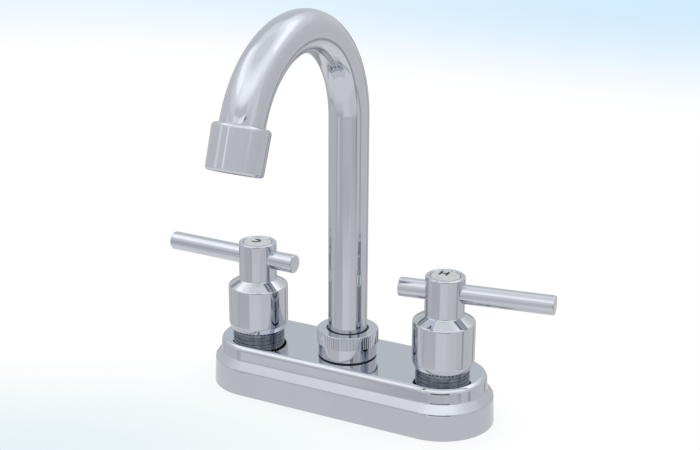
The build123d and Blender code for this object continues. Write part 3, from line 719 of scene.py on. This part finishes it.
@dataclass
class Handle:
    """A handle: hub and bell in one casting, two round rods and the index button in the top."""

    side: str
    body: Body
    axis_x: float
    lever_angle: float
    mark: str
    mark_turn: float
    hub_radius: float = 9.35
    top: float = 73.5
    bell_radius: float = 14.8
    bell_foot: float = 28.95
    foot_taper: float = 0.85
    foot_taper_height: float = 2.8
    # How far up the bell's foot the painted near-black shade reaches, in mm.
    painted_shade_rim: float = 0.15
    shoulder: float = 51.1
    hub_foot: float = 54.5
    wall: float = 1.5
    crown: float = 4.0
    boss_radius: float = 6.6
    boss_foot: float = 43.0
    web_low: float = 53.05
    web_high: float = 56.05
    socket_radius: float = 4.05
    screw_hole: float = 2.15
    well_radius: float = 4.2
    recess_radius: float = 7.1
    recess_depth: float = 2.2
    recess_chamfer: float = 0.3
    rod_radius: float = 4.55
    rod_drop: float = 8.2
    rod_seat: float = 7.4
    lever_reach: float = 51.3
    stub_reach: float = 21.8
    rod_end_radius: float = 0.6
    spigot_radius: float = 2.4
    spigot_length: float = 2.4
    button_radius: float = 6.95
    button_drop: float = 0.25
    button_thickness: float = 1.2
    button_skirt: float = 1.2
    button_edge: float = 0.3
    mark_height: float = 0.06
    mark_stroke: float = 1.1
    mark_spacing: float = 3.25
    mark_x: float = -1.8
    mark_y: float = 2.6
    mark_size: float = 5.1
    c_start: float = 48.0
    c_sweep: float = 264.0
    c_steps: int = 40
    hub_top_rounding: float = 0.9
    hub_foot_rounding: float = 0.8
    shoulder_rounding: float = 1.0
    taper_rounding: float = 4.0
    bell_foot_rounding: float = 0.25
    inside_play: float = 0.01
    rod_steps: int = 96

    def casting(self) -> BMesh:
        """Build the hub and bell as one hollow turned casting."""
        inside = self.bell_radius - self.wall
        ceiling = self.hub_foot - self.crown
        floor = self.top - self.recess_depth
        mesh = turned([
            Corner(self.recess_radius, floor),
            Corner(self.recess_radius, self.top - self.recess_chamfer),
            Corner(self.recess_radius + self.recess_chamfer, self.top),
            Corner(self.hub_radius, self.top, self.hub_top_rounding),
            Corner(self.hub_radius, self.hub_foot, self.hub_foot_rounding),
            Corner(self.bell_radius, self.shoulder, self.shoulder_rounding),
            Corner(self.bell_radius, self.bell_foot + self.foot_taper_height, self.taper_rounding),
            Corner(self.bell_radius - self.foot_taper, self.bell_foot, self.bell_foot_rounding),
            Corner(inside, self.bell_foot),
            Corner(inside, ceiling - self.wall),
            Corner(inside - self.wall, ceiling),
            Corner(self.boss_radius, ceiling),
            Corner(self.boss_radius, self.boss_foot),
            Corner(self.socket_radius, self.boss_foot),
            Corner(self.socket_radius, self.web_low),
            Corner(self.screw_hole, self.web_low),
            Corner(self.screw_hole, self.web_high),
            Corner(self.well_radius, self.web_high),
            Corner(self.well_radius, floor),
        ])
        # Paint the bell's inside and the lowest strip of its foot near-black: painted shade where shade
        # falls under the bell and the deck mirrors it.
        for face in mesh.faces:
            middle = face.calc_center_median() / MM
            play = self.inside_play
            within = middle.xy.length < inside + play and middle.z < ceiling + play
            if within or middle.z < self.bell_foot + self.painted_shade_rim:
                face.material_index = 1
        return mesh

    def rod(self, reach: float) -> BMesh:
        """Build a round rod with its spigot, along Z from the handle's axis."""
        return turned([
            Corner(0, self.rod_seat - self.spigot_length),
            Corner(self.spigot_radius, self.rod_seat - self.spigot_length),
            Corner(self.spigot_radius, self.rod_seat),
            Corner(self.rod_radius, self.rod_seat),
            Corner(self.rod_radius, reach, self.rod_end_radius),
            Corner(0, reach),
        ], closed=False, steps=self.rod_steps)

    def button(self) -> BMesh:
        """Build the hollow index button."""
        top = self.top - self.button_drop
        under = top - self.button_thickness
        inside = self.button_radius - self.button_skirt
        return turned([
            Corner(0, under),
            Corner(inside, under),
            Corner(inside, self.top - self.recess_depth),
            Corner(self.button_radius, self.top - self.recess_depth),
            Corner(self.button_radius, top, self.button_edge),
            Corner(0, top),
        ], closed=False)

    def bar(self, mesh: BMesh, length: float, x: float, y: float, turn: float) -> None:
        """Add one straight stroke of a mark.

        Args:
            mesh: The mark's mesh.
            length: The stroke's length in mm.
            x: The stroke's middle across the mark, in mm.
            y: The stroke's middle along the mark, in mm.
            turn: Its turn in degrees, from upright.
        """
        size = Matrix.Diagonal((self.mark_stroke * MM, length * MM, self.mark_height * MM, 1))
        turned_to = Matrix.Rotation(math.radians(turn), 4, "Z")
        place = Matrix.Translation((x * MM, y * MM, self.mark_height * MM / 2))
        bmesh.ops.create_cube(mesh, size=1.0, matrix=place @ turned_to @ size)

    def index_mark(self) -> BMesh:
        """Build the plain H or C that says which water the handle turns on."""
        mesh = bmesh.new()
        if self.mark == "H":
            half = self.mark_spacing / 2
            self.bar(mesh, self.mark_size, -half, 0, 0)
            self.bar(mesh, self.mark_size, half, 0, 0)
            self.bar(mesh, 2 * half, 0, 0, 90)
        else:
            middle = self.mark_size / 2 - self.mark_stroke / 2
            section = bmesh.ops.create_grid(mesh, x_segments=1, y_segments=1, size=0.5)["verts"]
            size = Matrix.Diagonal((self.mark_stroke * MM, self.mark_height * MM, 1, 1))
            upright = Matrix.Rotation(QUARTER_TURN, 4, "X")
            place = Matrix.Translation((middle * MM, 0, self.mark_height * MM / 2))
            gap = Matrix.Rotation(math.radians(self.c_start), 4, "Z")
            bmesh.ops.transform(mesh, matrix=gap @ place @ upright @ size, verts=section)
            swept = mesh.verts[:] + mesh.edges[:] + mesh.faces[:]
            spun(mesh, swept, self.c_steps, math.radians(self.c_sweep))
        close_up(mesh)
        return mesh

    def build(self, shop: Workshop) -> None:
        """Make every piece of the handle."""
        axis = Matrix.Translation((self.axis_x * MM, 0, 0))
        height = Matrix.Translation((0, 0, (self.top - self.rod_drop) * MM))
        lying = height @ Matrix.Rotation(QUARTER_TURN, 4, "Y")
        lever, stub = (
            axis @ Matrix.Rotation(math.radians(turn), 4, "Z") @ lying
            for turn in (self.lever_angle, self.lever_angle + HALF_CIRCLE)
        )
        side = self.side
        for part, mesh, slot, node, place, lining in (
            # The bell's inside and its foot rim take the near-black painted shade.
            ("bell", self.casting(), "chrome", "handle_bell", axis, "raw_casting_painted_shade"),
            ("lever", self.rod(self.lever_reach), "chrome", "handle_lever", lever, None),
            ("stub", self.rod(self.stub_reach), "chrome", "handle_stub", stub, None),
            ("button", self.button(), "white_plastic", "index_button", axis, None),
        ):
            name = f"{side}_{part}"
            shop.piece(name, mesh, self.body, slot, [f"{side}_{node}"], place, lining=lining)
        level = self.top - self.button_drop
        face = Matrix.Translation(Vector((self.axis_x + self.mark_x, self.mark_y, level)) * MM)
        mark_place = face @ Matrix.Rotation(math.radians(self.mark_turn), 4, "Z")
        shop.piece(
            f"{side}_index_mark", self.index_mark(), self.body, "white_plastic",
            place=mark_place, material="index_ink",
        )


@dataclass
class Spout:
    """The gooseneck with its nut, slip ring and washer, and the aerator on its end."""

    tube_radius: float = 9.45
    tube_wall: float = 1.0
    tube_foot: float = 32.02
    riser_top: float = 142.3
    rear_radius: float = 45.6
    rear_sweep: float = 90.0
    front_radius: float = 48.1
    front_sweep: float = 70.1
    standoff: float = 0.9
    nipple_drop: float = 0.25
    nipple_length: float = 8.75
    nipple_shelf: float = 1.8
    tube_steps: int = 128
    degrees_a_step: float = 1.5
    deck: float = 24.0
    nut_foot: float = 24.6
    nut_top: float = 37.6
    nut_radius: float = 15.0
    nut_plain_radius: float = 14.3
    knurl_height: float = 6.4
    knurl_depth: float = 0.4
    nut_teeth: int = 72
    nut_rounding: float = 0.7
    lip: float = 3.4
    opening: float = 10.35
    neck_bore: float = 11.32
    washer_radius: float = 13.9
    washer_bore: float = 11.6
    slip_flange: float = 11.2
    slip_bore: float = 9.5
    slip_wall: float = 0.7
    slip_drop: float = 0.3
    slip_foot: float = 32.07
    aerator_radius: float = 12.2
    aerator_foot_radius: float = 11.9
    aerator_length: float = 18.1
    aerator_rounding: float = 1.8
    aerator_chamfer: float = 0.9
    aerator_bore: float = 10.9
    aerator_lip: float = 9.3
    aerator_lip_depth: float = 1.5
    shoulder_rise: float = 1.3
    collar_play: float = 0.15
    aerator_foot_rounding: float = 0.3
    aerator_chamfer_rounding: float = 0.2
    nut_face_margin: float = 0.6
    small_rounding: float = 0.15
    seal_rounding: float = 0.12
    knurl_share: float = 0.3
    nipple_play: float = 0.02

    def along_path(self, mesh: BMesh, radius: float) -> tuple[list[BMEdge], list[BMEdge]]:
        """Run a ring along the spout's centre line.

        Args:
            mesh: The mesh.
            radius: The ring's radius in mm.

        Returns:
            The edges at the foot and at the outlet.
        """
        across = Vector((1, 0, 0))
        foot = ring_at(mesh, radius, self.tube_foot, steps=self.tube_steps)
        riser = pull(mesh, foot, Vector((0, 0, (self.riser_top - self.tube_foot) * MM)))
        rear_centre = Vector((0, -self.rear_radius, self.riser_top)) * MM
        rear_steps = round(self.rear_sweep / self.degrees_a_step)
        rear = swing(mesh, riser, rear_centre, across, math.radians(self.rear_sweep), rear_steps)
        crest = self.riser_top + self.rear_radius
        front_centre = Vector((0, -self.rear_radius, crest - self.front_radius)) * MM
        front_steps = round(self.front_sweep / self.degrees_a_step)
        front = swing(mesh, rear, front_centre, across, math.radians(self.front_sweep), front_steps)
        straight = self.standoff + self.nipple_drop + self.nipple_length - self.nipple_shelf
        return foot, pull(mesh, front, self.outlet_axis() * straight * MM)

    def outlet_axis(self) -> Vector:
        """Give the direction that the water leaves in."""
        turn = math.radians(self.front_sweep)
        return Vector((0, -math.cos(turn), -math.sin(turn)))

    def outlet_place(self) -> Matrix:
        """Give the place of the aerator's top face, with Z along the water."""
        turn = math.radians(self.front_sweep)
        crest = self.riser_top + self.rear_radius
        end_y = -self.rear_radius - self.front_radius * math.sin(turn)
        end_z = crest - self.front_radius + self.front_radius * math.cos(turn)
        along = self.outlet_axis()
        across = Vector((1, 0, 0))
        side = along.cross(across)
        place = Matrix((across, side, along)).transposed().to_4x4()
        place.translation = Vector((0, end_y, end_z)) * MM + along * self.standoff * MM
        return place

    def tube(self) -> BMesh:
        """Build the hollow gooseneck."""
        mesh = bmesh.new()
        outer_foot, outer_end = self.along_path(mesh, self.tube_radius)
        inner_foot, inner_end = self.along_path(mesh, self.tube_radius - self.tube_wall)
        bridge(mesh, outer_foot + inner_foot)
        bridge(mesh, outer_end + inner_end)
        close_up(mesh)
        return mesh

    def nut(self) -> BMesh:
        """Build the nut: a straight-knurled band with a rounded top edge over a plain band."""
        mesh = bmesh.new()
        knurl_foot = self.nut_top - self.knurl_height
        flat = self.nut_plain_radius - self.nut_face_margin
        outline(mesh, [
            Corner(self.nut_plain_radius, knurl_foot),
            Corner(self.nut_plain_radius, self.nut_foot, self.small_rounding),
            Corner(self.neck_bore, self.nut_foot),
            Corner(self.neck_bore, self.nut_top - self.lip),
            Corner(self.opening, self.nut_top - self.lip),
            Corner(self.opening, self.nut_top),
            Corner(flat, self.nut_top),
        ])
        spun(mesh, mesh.verts[:] + mesh.edges[:], TOOTH_EDGES * self.nut_teeth)
        plain = rim_edges(mesh, knurl_foot)
        face = rim_edges(mesh, self.nut_top)
        root = self.nut_radius - self.knurl_depth
        share = self.knurl_share
        teeth = toothed_ring(mesh, self.nut_radius, root, self.nut_teeth, share, share, knurl_foot)
        bridge(mesh, plain + teeth)
        straight = self.knurl_height - self.nut_rounding
        ring = pull(mesh, teeth, Vector((0, 0, straight * MM)))
        for step in range(1, ARC_SEGMENTS + 1):
            before = (step - 1) / ARC_SEGMENTS * QUARTER_TURN
            now = step / ARC_SEGMENTS * QUARTER_TURN
            rise = self.nut_rounding * (math.sin(now) - math.sin(before))
            ring = pull(mesh, ring, Vector((0, 0, rise * MM)))
            limit = (self.nut_radius - self.nut_rounding * (1 - math.cos(now))) * MM
            for vert in {vert for edge in ring for vert in edge.verts}:
                reach = vert.co.xy.length
                if reach > limit:
                    bmesh.ops.scale(mesh, vec=(limit / reach, limit / reach, 1), verts=[vert])
        bridge(mesh, ring + face)
        close_up(mesh)
        return mesh

    def aerator(self) -> BMesh:
        """Build the aerator's tapering shell, down its own axis."""
        foot = self.aerator_length - self.aerator_chamfer
        lip = self.aerator_length - self.aerator_lip_depth
        collar = self.tube_radius + self.collar_play
        return turned([
            Corner(self.aerator_bore, self.collar_play),
            Corner(collar, self.collar_play),
            Corner(collar, -self.shoulder_rise),
            Corner(self.aerator_radius, -self.shoulder_rise, self.aerator_rounding),
            Corner(self.aerator_foot_radius, foot, self.aerator_foot_rounding),
            Corner(
                self.aerator_foot_radius - self.aerator_chamfer, self.aerator_length,
                self.aerator_chamfer_rounding,
            ),
            Corner(self.aerator_lip, self.aerator_length),
            Corner(self.aerator_lip, lip),
            Corner(self.aerator_bore, lip),
        ])

    def nipple(self) -> BMesh:
        """Build the ring on the tube's end that the aerator screws on to."""
        foot = self.nipple_drop + self.nipple_length
        shelf = foot - self.nipple_shelf
        outer = self.aerator_bore - self.nipple_play
        bore = self.tube_radius + self.nipple_play
        inner = self.tube_radius - self.tube_wall
        return turned([
            Corner(bore, self.nipple_drop),
            Corner(outer, self.nipple_drop, self.small_rounding),
            Corner(outer, foot),
            Corner(inner, foot),
            Corner(inner, shelf),
            Corner(bore, shelf),
        ], steps=self.tube_steps)

    def slip_ring(self) -> BMesh:
        """Build the black ring between the nut and the tube."""
        lip = self.nut_top - self.lip
        collar = self.slip_bore + self.slip_wall
        top = self.nut_top - self.slip_drop
        return turned([
            Corner(self.slip_bore, self.slip_foot),
            Corner(self.slip_flange, self.slip_foot),
            Corner(self.slip_flange, lip),
            Corner(collar, lip),
            Corner(collar, top, self.seal_rounding),
            Corner(self.slip_bore, top, self.seal_rounding),
        ], steps=self.tube_steps)

    def washer(self) -> BMesh:
        """Build the rubber washer under the nut."""
        return turned([
            Corner(self.washer_bore, self.deck),
            Corner(self.washer_radius, self.deck, self.seal_rounding),
            Corner(self.washer_radius, self.nut_foot, self.seal_rounding),
            Corner(self.washer_bore, self.nut_foot),
        ], steps=self.tube_steps)

    def build(self, shop: Workshop) -> None:
        """Make every piece of the spout and of what holds it."""
        outlet = self.outlet_place()
        shop.piece("gooseneck", self.tube(), Body.SPOUT, "chrome", ["spout_tube"])
        shop.piece("knurled_nut", self.nut(), Body.BASE, "chrome", ["spout_nut"])
        shop.piece("slip_ring", self.slip_ring(), Body.BASE, "black_plastic", ["spout_slip_ring"])
        shop.piece("nut_washer", self.washer(), Body.BASE, "black_rubber", ["spout_nut_washer"])
        shop.piece("aerator_shell", self.aerator(), Body.SPOUT, "chrome", ["aerator_housing"], outlet)
        shop.piece("outlet_ring", self.nipple(), Body.SPOUT, "chrome", ["outlet_nipple"], outlet)


@dataclass
class InnerWorks:
    """The kept solids that lie inside the shells and under the basin."""

    fixed: tuple[tuple[str, str], ...] = (
        ("base_gasket", "black_rubber"),
        ("spout_hub", "brass"),
        ("hot_crossover_pipe", "brass"),
        ("cold_crossover_pipe", "brass"),
        ("deck_washers", "black_rubber"),
        ("deck_locknuts", "brass"),
        ("spout_tail", "brass"),
        ("spout_o_rings", "black_rubber"),
        ("aerator_washer", "black_rubber"),
        ("aerator_screen", "stainless"),
        ("aerator_insert", "grey_plastic"),
    )
    each_valve: tuple[tuple[str, str], ...] = (
        ("valve_body", "brass"),
        ("seat_seal", "black_rubber"),
        ("cartridge_body", "brass"),
        ("fixed_disc", "disc_ceramic"),
        ("moving_disc", "disc_ceramic"),
        ("spindle", "brass"),
        ("spindle_o_ring", "black_rubber"),
        ("handle_screw", "stainless"),
    )

    def build(self, shop: Workshop) -> None:
        """Give every kept solid its finish."""
        for node, slot in self.fixed:
            shop.dress(node, slot)
        for side in ("cold", "hot"):
            for node, slot in self.each_valve:
                shop.dress(f"{side}_{node}", slot)


# The pale room


def grey(level: float) -> tuple[float, float, float, float]:
    """Give the plain grey of a brightness."""
    return level, level, level, 1.0


def bare_material(name: str) -> tuple[bpy.types.Material, Wiring]:
    """Make a material with an empty tree, and the wiring for that tree."""
    made = bpy.data.materials.new(name)
    made.use_nodes = True
    made.node_tree.nodes.clear()
    return made, Wiring(made.node_tree)


@dataclass(frozen=True)
class Level:
    """How bright the room is all round at one elevation in degrees."""

    elevation: float
    brightness: float


@dataclass(frozen=True)
class Panel:
    """A bright or dark panel of the room as the metal mirrors it.

    Attributes:
        bearing: Its middle, in degrees to the right of the camera as seen from the tap.
        half_width: Half its width in degrees.
        low: Its lowest elevation in degrees.
        high: Its highest elevation in degrees.
        brightness: How bright it is.
        share: How much it covers what is behind it.
        soft: How wide its soft edge is, in degrees.
        cool: How much less red than green it gives, as a share.
    """

    bearing: float
    half_width: float
    low: float
    high: float
    brightness: float
    share: float = 1.0
    soft: float = 4.0
    cool: float = 0.0

    def colour(self) -> tuple[float, float, float, float]:
        """Give its colour."""
        red = self.brightness * (1 - self.cool)
        blue = self.brightness * (1 + self.cool / 2)
        return red, self.brightness, blue, 1.0


@dataclass(frozen=True)
class Rim:
    """The dark rim of a table top to one side, with the darker ground beyond it.

    Attributes:
        bearing: Where the table's middle is, in degrees to the right of the camera.
        elevation: How high its middle is, in degrees.
        half_width: How far it reaches each way, in degrees.
        depth: How far down it reaches, in degrees.
        line: Half the rim's thickness, as a share of its reach.
        brightness: How bright the rim is.
        beyond: How bright it is inside the rim.
        fade_above: How far above its middle it starts to show, in degrees.
        fade_below: How far below its middle it shows fully, in degrees.
        line_edge: Where the line's soft edge ends, as a share of its half thickness.
        line_core: Where that edge starts, as a share of its half thickness.
    """

    bearing: float
    elevation: float
    half_width: float
    depth: float
    line: float
    brightness: float
    beyond: float
    fade_above: float = 4.0
    fade_below: float = 2.0
    line_edge: float = 1.5
    line_core: float = 0.5


@dataclass
class Room:
    """Floor, near ground, world, lamp and camera.

    The camera's place, lens and sensor, the tint's ends and ground_reach are in mm, and the other lengths
    are in metres. Angles are in degrees.
    """

    bearing: float = 27.85
    elevation: float = 17.76
    roll: float = 0.39
    lens: float = 65.62
    sensor: float = 36.0
    camera_at: tuple[float, float, float] = (269.7, -508.7, 274.2)
    floor_radius: float = 0.45
    floor_level: float = -0.0002
    tinted_share: float = 0.55
    white: tuple[float, float, float] = (1.0, 1.0, 1.0)
    sky_left: tuple[float, float, float] = (0.825, 0.92, 1.0)
    sky_right: tuple[float, float, float] = (0.65, 0.84, 1.0)
    sky_low: float = -10.0
    sky_low_drop: float = 2.6
    sky_high: float = -7.2
    sky_high_drop: float = 0.6
    side_reach: float = 0.27
    near_corner: tuple[float, float, float] = (0.80, 0.895, 0.925)
    near_start: float = -60.0
    near_end: float = 62.0
    corner_start: float = 90.0
    corner_end: float = -150.0
    shadow: tuple[float, float, float] = (0.86, 0.88, 0.91)
    shadow_reach: float = 0.02
    below: float = 0.93
    levels: tuple[Level, ...] = (
        Level(-45, 0.92),
        Level(-30, 0.80),
        Level(-18, 0.62),
        Level(0, 0.74),
        Level(20, 0.79),
        Level(32, 0.95),
        Level(44, 1.22),
        Level(52, 1.34),
        Level(62, 1.27),
        Level(76, 1.0),
    )
    rims: tuple[Rim, ...] = (
        Rim(90, -8, 48, 30, 0.085, 0.44, 0.74),
        Rim(-102, -8, 31, 20, 0.09, 0.62, 0.70),
    )
    panels: tuple[Panel, ...] = (
        Panel(-165, 30, 5, 52, 0.75, 0.9, 14, 0.06),
        Panel(-165, 30, 52, 66, 1.0, 0.8, 10),
        Panel(-3, 22.5, -8, 13.0, 0.10, 1.0, 2.0),
        Panel(14, 8, 22.5, 23.9, 0.02, 1.0, 0.6),
        Panel(-4, 14, 23.0, 28.0, 1.30, 0.95, 1.5),
        Panel(-95, 36, 42, 56, 1.52, 1.0, 8),
        Panel(112, 32, 44, 58, 1.6, 1.0, 9),
        Panel(0, 40, 43, 58, 1.42, 0.9, 12),
        Panel(-16, 32, 28, 36, 0.74, 0.8, 6),
        Panel(-34, 14, 23, 29, 1.10, 0.9, 4),
        Panel(52, 12, 8, 28, 0.95, 0.9, 8),
        Panel(-80, 6, 9, 20, 0.97, 1.0, 4),
        Panel(-46, 3, 14, 22.5, 1.20, 0.9, 2),
        Panel(-8, 24, -16, -9, 0.74, 0.8, 5),
        Panel(-8, 24, -40, -18, 0.90, 0.9, 5),
        Panel(30, 24, -40, -17, 0.82, 0.8, 8),
        Panel(-62, 12, -14, 13, 0.60, 0.9, 6),
        Panel(-59, 6, -18, -8, 0.82, 0.9, 4),
        Panel(70, 4, -32, -5, 0.44, 0.8, 4),
        Panel(180, 24, -42, 2, 0.42, 0.95, 8),
    )
    ground_reach: float = 30.0
    ground_level: float = -0.0001
    ground_brightness: float = 0.80
    below_all: float = -90.0
    shadow_samples: int = 16
    floor_tone: tuple[float, float, float] = (0.85, 0.85, 0.86)
    plain_light: tuple[float, float, float] = (0.9, 0.91, 0.93)
    lamp_size: float = 0.8
    lamp_energy: float = 2.5
    lamp_at: tuple[float, float, float] = (-0.35, -0.45, 1.1)
    lamp_aim: tuple[float, float, float] = (0, 0, 0.06)
    clip_start: float = 0.01

    def directions(self) -> tuple[Vector, Vector]:
        """Give the level directions from the tap towards the camera and to the camera's right."""
        turn = math.radians(self.bearing)
        return Vector((math.sin(turn), -math.cos(turn), 0)), Vector((math.cos(turn), math.sin(turn), 0))

    def along(self, wire: Wiring, place: Socket) -> list[Socket]:
        """Work out how far a place lies along each of the two level directions."""
        return [wire.vector("DOT_PRODUCT", place, way).outputs["Value"] for way in self.directions()]

    def camera(self) -> None:
        """Set up the camera at the photographed angle."""
        level_back, right = self.directions()
        rise = math.radians(self.elevation)
        back = level_back * math.cos(rise) + Vector((0, 0, math.sin(rise)))
        up = back.cross(right)
        roll = math.radians(self.roll)
        side = math.cos(roll) * right + math.sin(roll) * up
        top = math.cos(roll) * up - math.sin(roll) * right
        data = bpy.data.cameras.new("camera")
        data.lens = self.lens
        data.sensor_width = self.sensor
        data.clip_start = self.clip_start
        made = linked("camera", data)
        made.matrix_world = Matrix((side, top, back)).transposed().to_4x4()
        made.location = Vector(self.camera_at) * MM
        bpy.context.scene.camera = made

    def floor(self) -> None:
        """Lay the pale floor, tinted and softly shadowed for the camera, which the metal doesn't mirror."""
        mesh = bmesh.new()
        place = Matrix.Translation((0, 0, self.floor_level))
        radius = self.floor_radius
        bmesh.ops.create_circle(mesh, cap_ends=True, radius=radius, segments=DISC_STEPS, matrix=place)
        made = shaped("floor", mesh)
        material, wire = bare_material("pale_floor")
        path = wire.node("ShaderNodeLightPath")
        near = wire.node("ShaderNodeAmbientOcclusion", samples=self.shadow_samples)
        near.inputs["Distance"].default_value = self.shadow_reach
        spot = wire.node("ShaderNodeTexCoord").outputs["Object"]
        ahead, aside = self.along(wire, spot)
        closer = wire.ease(ahead, self.near_start * MM, self.near_end * MM)
        sideways = wire.ease(aside, self.corner_start * MM, self.corner_end * MM)
        reach = wire.vector("LENGTH", spot).outputs["Value"]
        inner = wire.ease(reach, radius, radius * self.tinted_share)
        corner = wire.math("MULTIPLY", wire.math("MULTIPLY", closer, sideways), inner)
        open_floor = wire.blend(corner, (*self.white, 1), (*self.near_corner, 1))
        seen = wire.node("ShaderNodeEmission")
        wire.feed(seen.inputs["Color"], wire.blend(near.outputs["AO"], (*self.shadow, 1), open_floor))
        plain = wire.node("ShaderNodeBsdfDiffuse")
        plain.inputs["Color"].default_value = (*self.floor_tone, 1)
        mixed = wire.node("ShaderNodeMixShader")
        wire.feed(mixed.inputs[0], path.outputs["Is Camera Ray"])
        wire.feed(mixed.inputs[1], plain.outputs[0])
        wire.feed(mixed.inputs[2], seen.outputs[0])
        wire.feed(wire.node("ShaderNodeOutputMaterial").inputs["Surface"], mixed.outputs[0])
        made.data.materials.append(material)
        made.visible_glossy = False

    def card(self, name: str, mesh: BMesh, brightness: float) -> None:
        """Set up an even card that only the metal mirrors.

        Args:
            name: The card's name.
            mesh: Its mesh, which is used up.
            brightness: How bright it is.
        """
        made = shaped(name, mesh)
        material, wire = bare_material(name)
        glow = wire.node("ShaderNodeEmission")
        glow.inputs["Color"].default_value = grey(brightness)
        wire.feed(wire.node("ShaderNodeOutputMaterial").inputs["Surface"], glow.outputs[0])
        made.data.materials.append(material)
        made.visible_camera = False
        made.visible_diffuse = False
        made.visible_shadow = False
        made.visible_transmission = False

    def ground(self, base: Base) -> None:
        """Lay the lit ground close round the foot, which the lowest wall mirrors.

        Args:
            base: The base that it goes round.
        """
        mesh = bmesh.new()
        place = Matrix.Translation((0, base.centre_y * MM, self.ground_level))
        radius = (base.foot_half_width + self.ground_reach) * MM
        bmesh.ops.create_circle(mesh, cap_ends=True, radius=radius, segments=DISC_STEPS, matrix=place)
        for vert in mesh.verts:
            vert.co.x += math.copysign(base.end_arc_x * MM, vert.co.x)
        self.card("near_ground", mesh, self.ground_brightness)

    def away_from(self, wire: Wiring, turn: Socket, bearing: float) -> Socket:
        """Work out how many degrees a ray's bearing is from another."""
        return wire.math("WRAP", wire.math("SUBTRACT", turn, float(bearing)), HALF_CIRCLE, -HALF_CIRCLE)

    def mirrored(self, wire: Wiring, turn: Socket, rise: Socket) -> Socket:
        """Build what the metal mirrors: levels by height, the tables' rims, then the panels.

        Args:
            wire: The world's wiring.
            turn: A ray's bearing in degrees.
            rise: A ray's elevation in degrees.

        Returns:
            The mirrored colour.
        """
        shown = grey(self.below)
        start = self.below_all
        for level in self.levels:
            shown = wire.blend(wire.ease(rise, start, level.elevation), shown, grey(level.brightness))
            start = level.elevation
        for rim in self.rims:
            across = wire.math("DIVIDE", self.away_from(wire, turn, rim.bearing), float(rim.half_width))
            dropped = wire.math("SUBTRACT", rise, float(rim.elevation))
            down = wire.math("DIVIDE", dropped, float(rim.depth))
            squares = [wire.math("MULTIPLY", part, part) for part in (across, down)]
            reach = wire.math("SQRT", wire.math("ADD", *squares))
            lower = wire.ease(rise, rim.elevation + rim.fade_above, rim.elevation - rim.fade_below)
            inside = wire.math("MULTIPLY", wire.ease(reach, 1.0, 1.0 - rim.line), lower)
            shown = wire.blend(inside, shown, grey(rim.beyond))
            off = wire.math("ABSOLUTE", wire.math("SUBTRACT", reach, 1.0))
            edge = wire.ease(off, rim.line_edge * rim.line, rim.line_core * rim.line)
            shown = wire.blend(wire.math("MULTIPLY", edge, lower), shown, grey(rim.brightness))
        for panel in self.panels:
            half_soft = panel.soft / 2
            away = wire.math("ABSOLUTE", self.away_from(wire, turn, panel.bearing))
            across = wire.ease(away, panel.half_width + half_soft, panel.half_width - half_soft)
            above = wire.ease(rise, panel.low - half_soft, panel.low + half_soft)
            below = wire.ease(rise, panel.high + half_soft, panel.high - half_soft)
            within = wire.math("MULTIPLY", above, below)
            mask = wire.math("MULTIPLY", across, wire.math("MULTIPLY", within, panel.share))
            shown = wire.blend(mask, shown, panel.colour())
        return shown

    def world(self) -> None:
        """Build the world: pale sky for the camera, panels for the chrome, plain light for the rest."""
        world = bpy.data.worlds.new("room")
        bpy.context.scene.world = world
        world.use_nodes = True
        tree = world.node_tree
        tree.nodes.clear()
        wire = Wiring(tree)
        ray = wire.node("ShaderNodeTexCoord").outputs["Generated"]
        height = wire.node("ShaderNodeSeparateXYZ")
        wire.feed(height.inputs[0], ray)
        rise = wire.math("MULTIPLY", wire.math("ARCSINE", height.outputs["Z"]), IN_DEGREES)
        ahead, aside = self.along(wire, ray)
        turn = wire.math("MULTIPLY", wire.math("ARCTAN2", aside, ahead), IN_DEGREES)
        rightward = wire.ease(aside, -self.side_reach, self.side_reach)
        sky = wire.blend(rightward, (*self.sky_left, 1), (*self.sky_right, 1))
        low = wire.math("SUBTRACT", self.sky_low, wire.math("MULTIPLY", rightward, self.sky_low_drop))
        high = wire.math("SUBTRACT", self.sky_high, wire.math("MULTIPLY", rightward, self.sky_high_drop))
        backdrop = wire.blend(wire.ease(rise, low, high), (*self.white, 1), sky)
        shown = self.mirrored(wire, turn, rise)
        path = wire.node("ShaderNodeLightPath")
        colour = wire.blend(path.outputs["Is Glossy Ray"], (*self.plain_light, 1), shown)
        colour = wire.blend(path.outputs["Is Camera Ray"], colour, backdrop)
        background = wire.node("ShaderNodeBackground")
        wire.feed(background.inputs["Color"], colour)
        wire.feed(wire.node("ShaderNodeOutputWorld").inputs["Surface"], background.outputs[0])

    def lamp(self) -> None:
        """Hang one large soft lamp, which the chrome doesn't mirror."""
        data = bpy.data.lights.new("soft_lamp", "AREA")
        data.shape = "DISK"
        data.size = self.lamp_size
        data.energy = self.lamp_energy
        made = linked("soft_lamp", data)
        made.location = self.lamp_at
        made.rotation_mode = "QUATERNION"
        made.rotation_quaternion = (Vector(self.lamp_aim) - made.location).to_track_quat("-Z", "Y")
        made.visible_glossy = False

    def build(self, base: Base) -> None:
        """Set up the room and the camera round the base."""
        bpy.context.scene.view_settings.view_transform = "Standard"
        self.floor()
        self.ground(base)
        self.world()
        self.lamp()
        self.camera()


def main() -> None:
    """Build the tap piece by piece, then the room."""
    logging.basicConfig(level=logging.INFO, format="%(name)s: %(message)s")
    shop = Workshop()
    group = surface_group()
    for finish in FINISHES:
        shop.finishes[finish.slot] = finish.material(group)
    base = Base()
    base.build(shop)
    Handle(
        "cold", Body.COLD, axis_x=-base.valve_x, lever_angle=178.0, mark="C", mark_turn=180.0,
        mark_stroke=1.5, mark_x=-1.45, mark_y=0.9,
    ).build(shop)
    Handle("hot", Body.HOT, axis_x=base.valve_x, lever_angle=9.0, mark="H", mark_turn=5.5).build(shop)
    Spout().build(shop)
    InnerWorks().build(shop)
    Room().build(base)


if __name__ == "__main__":
    main()
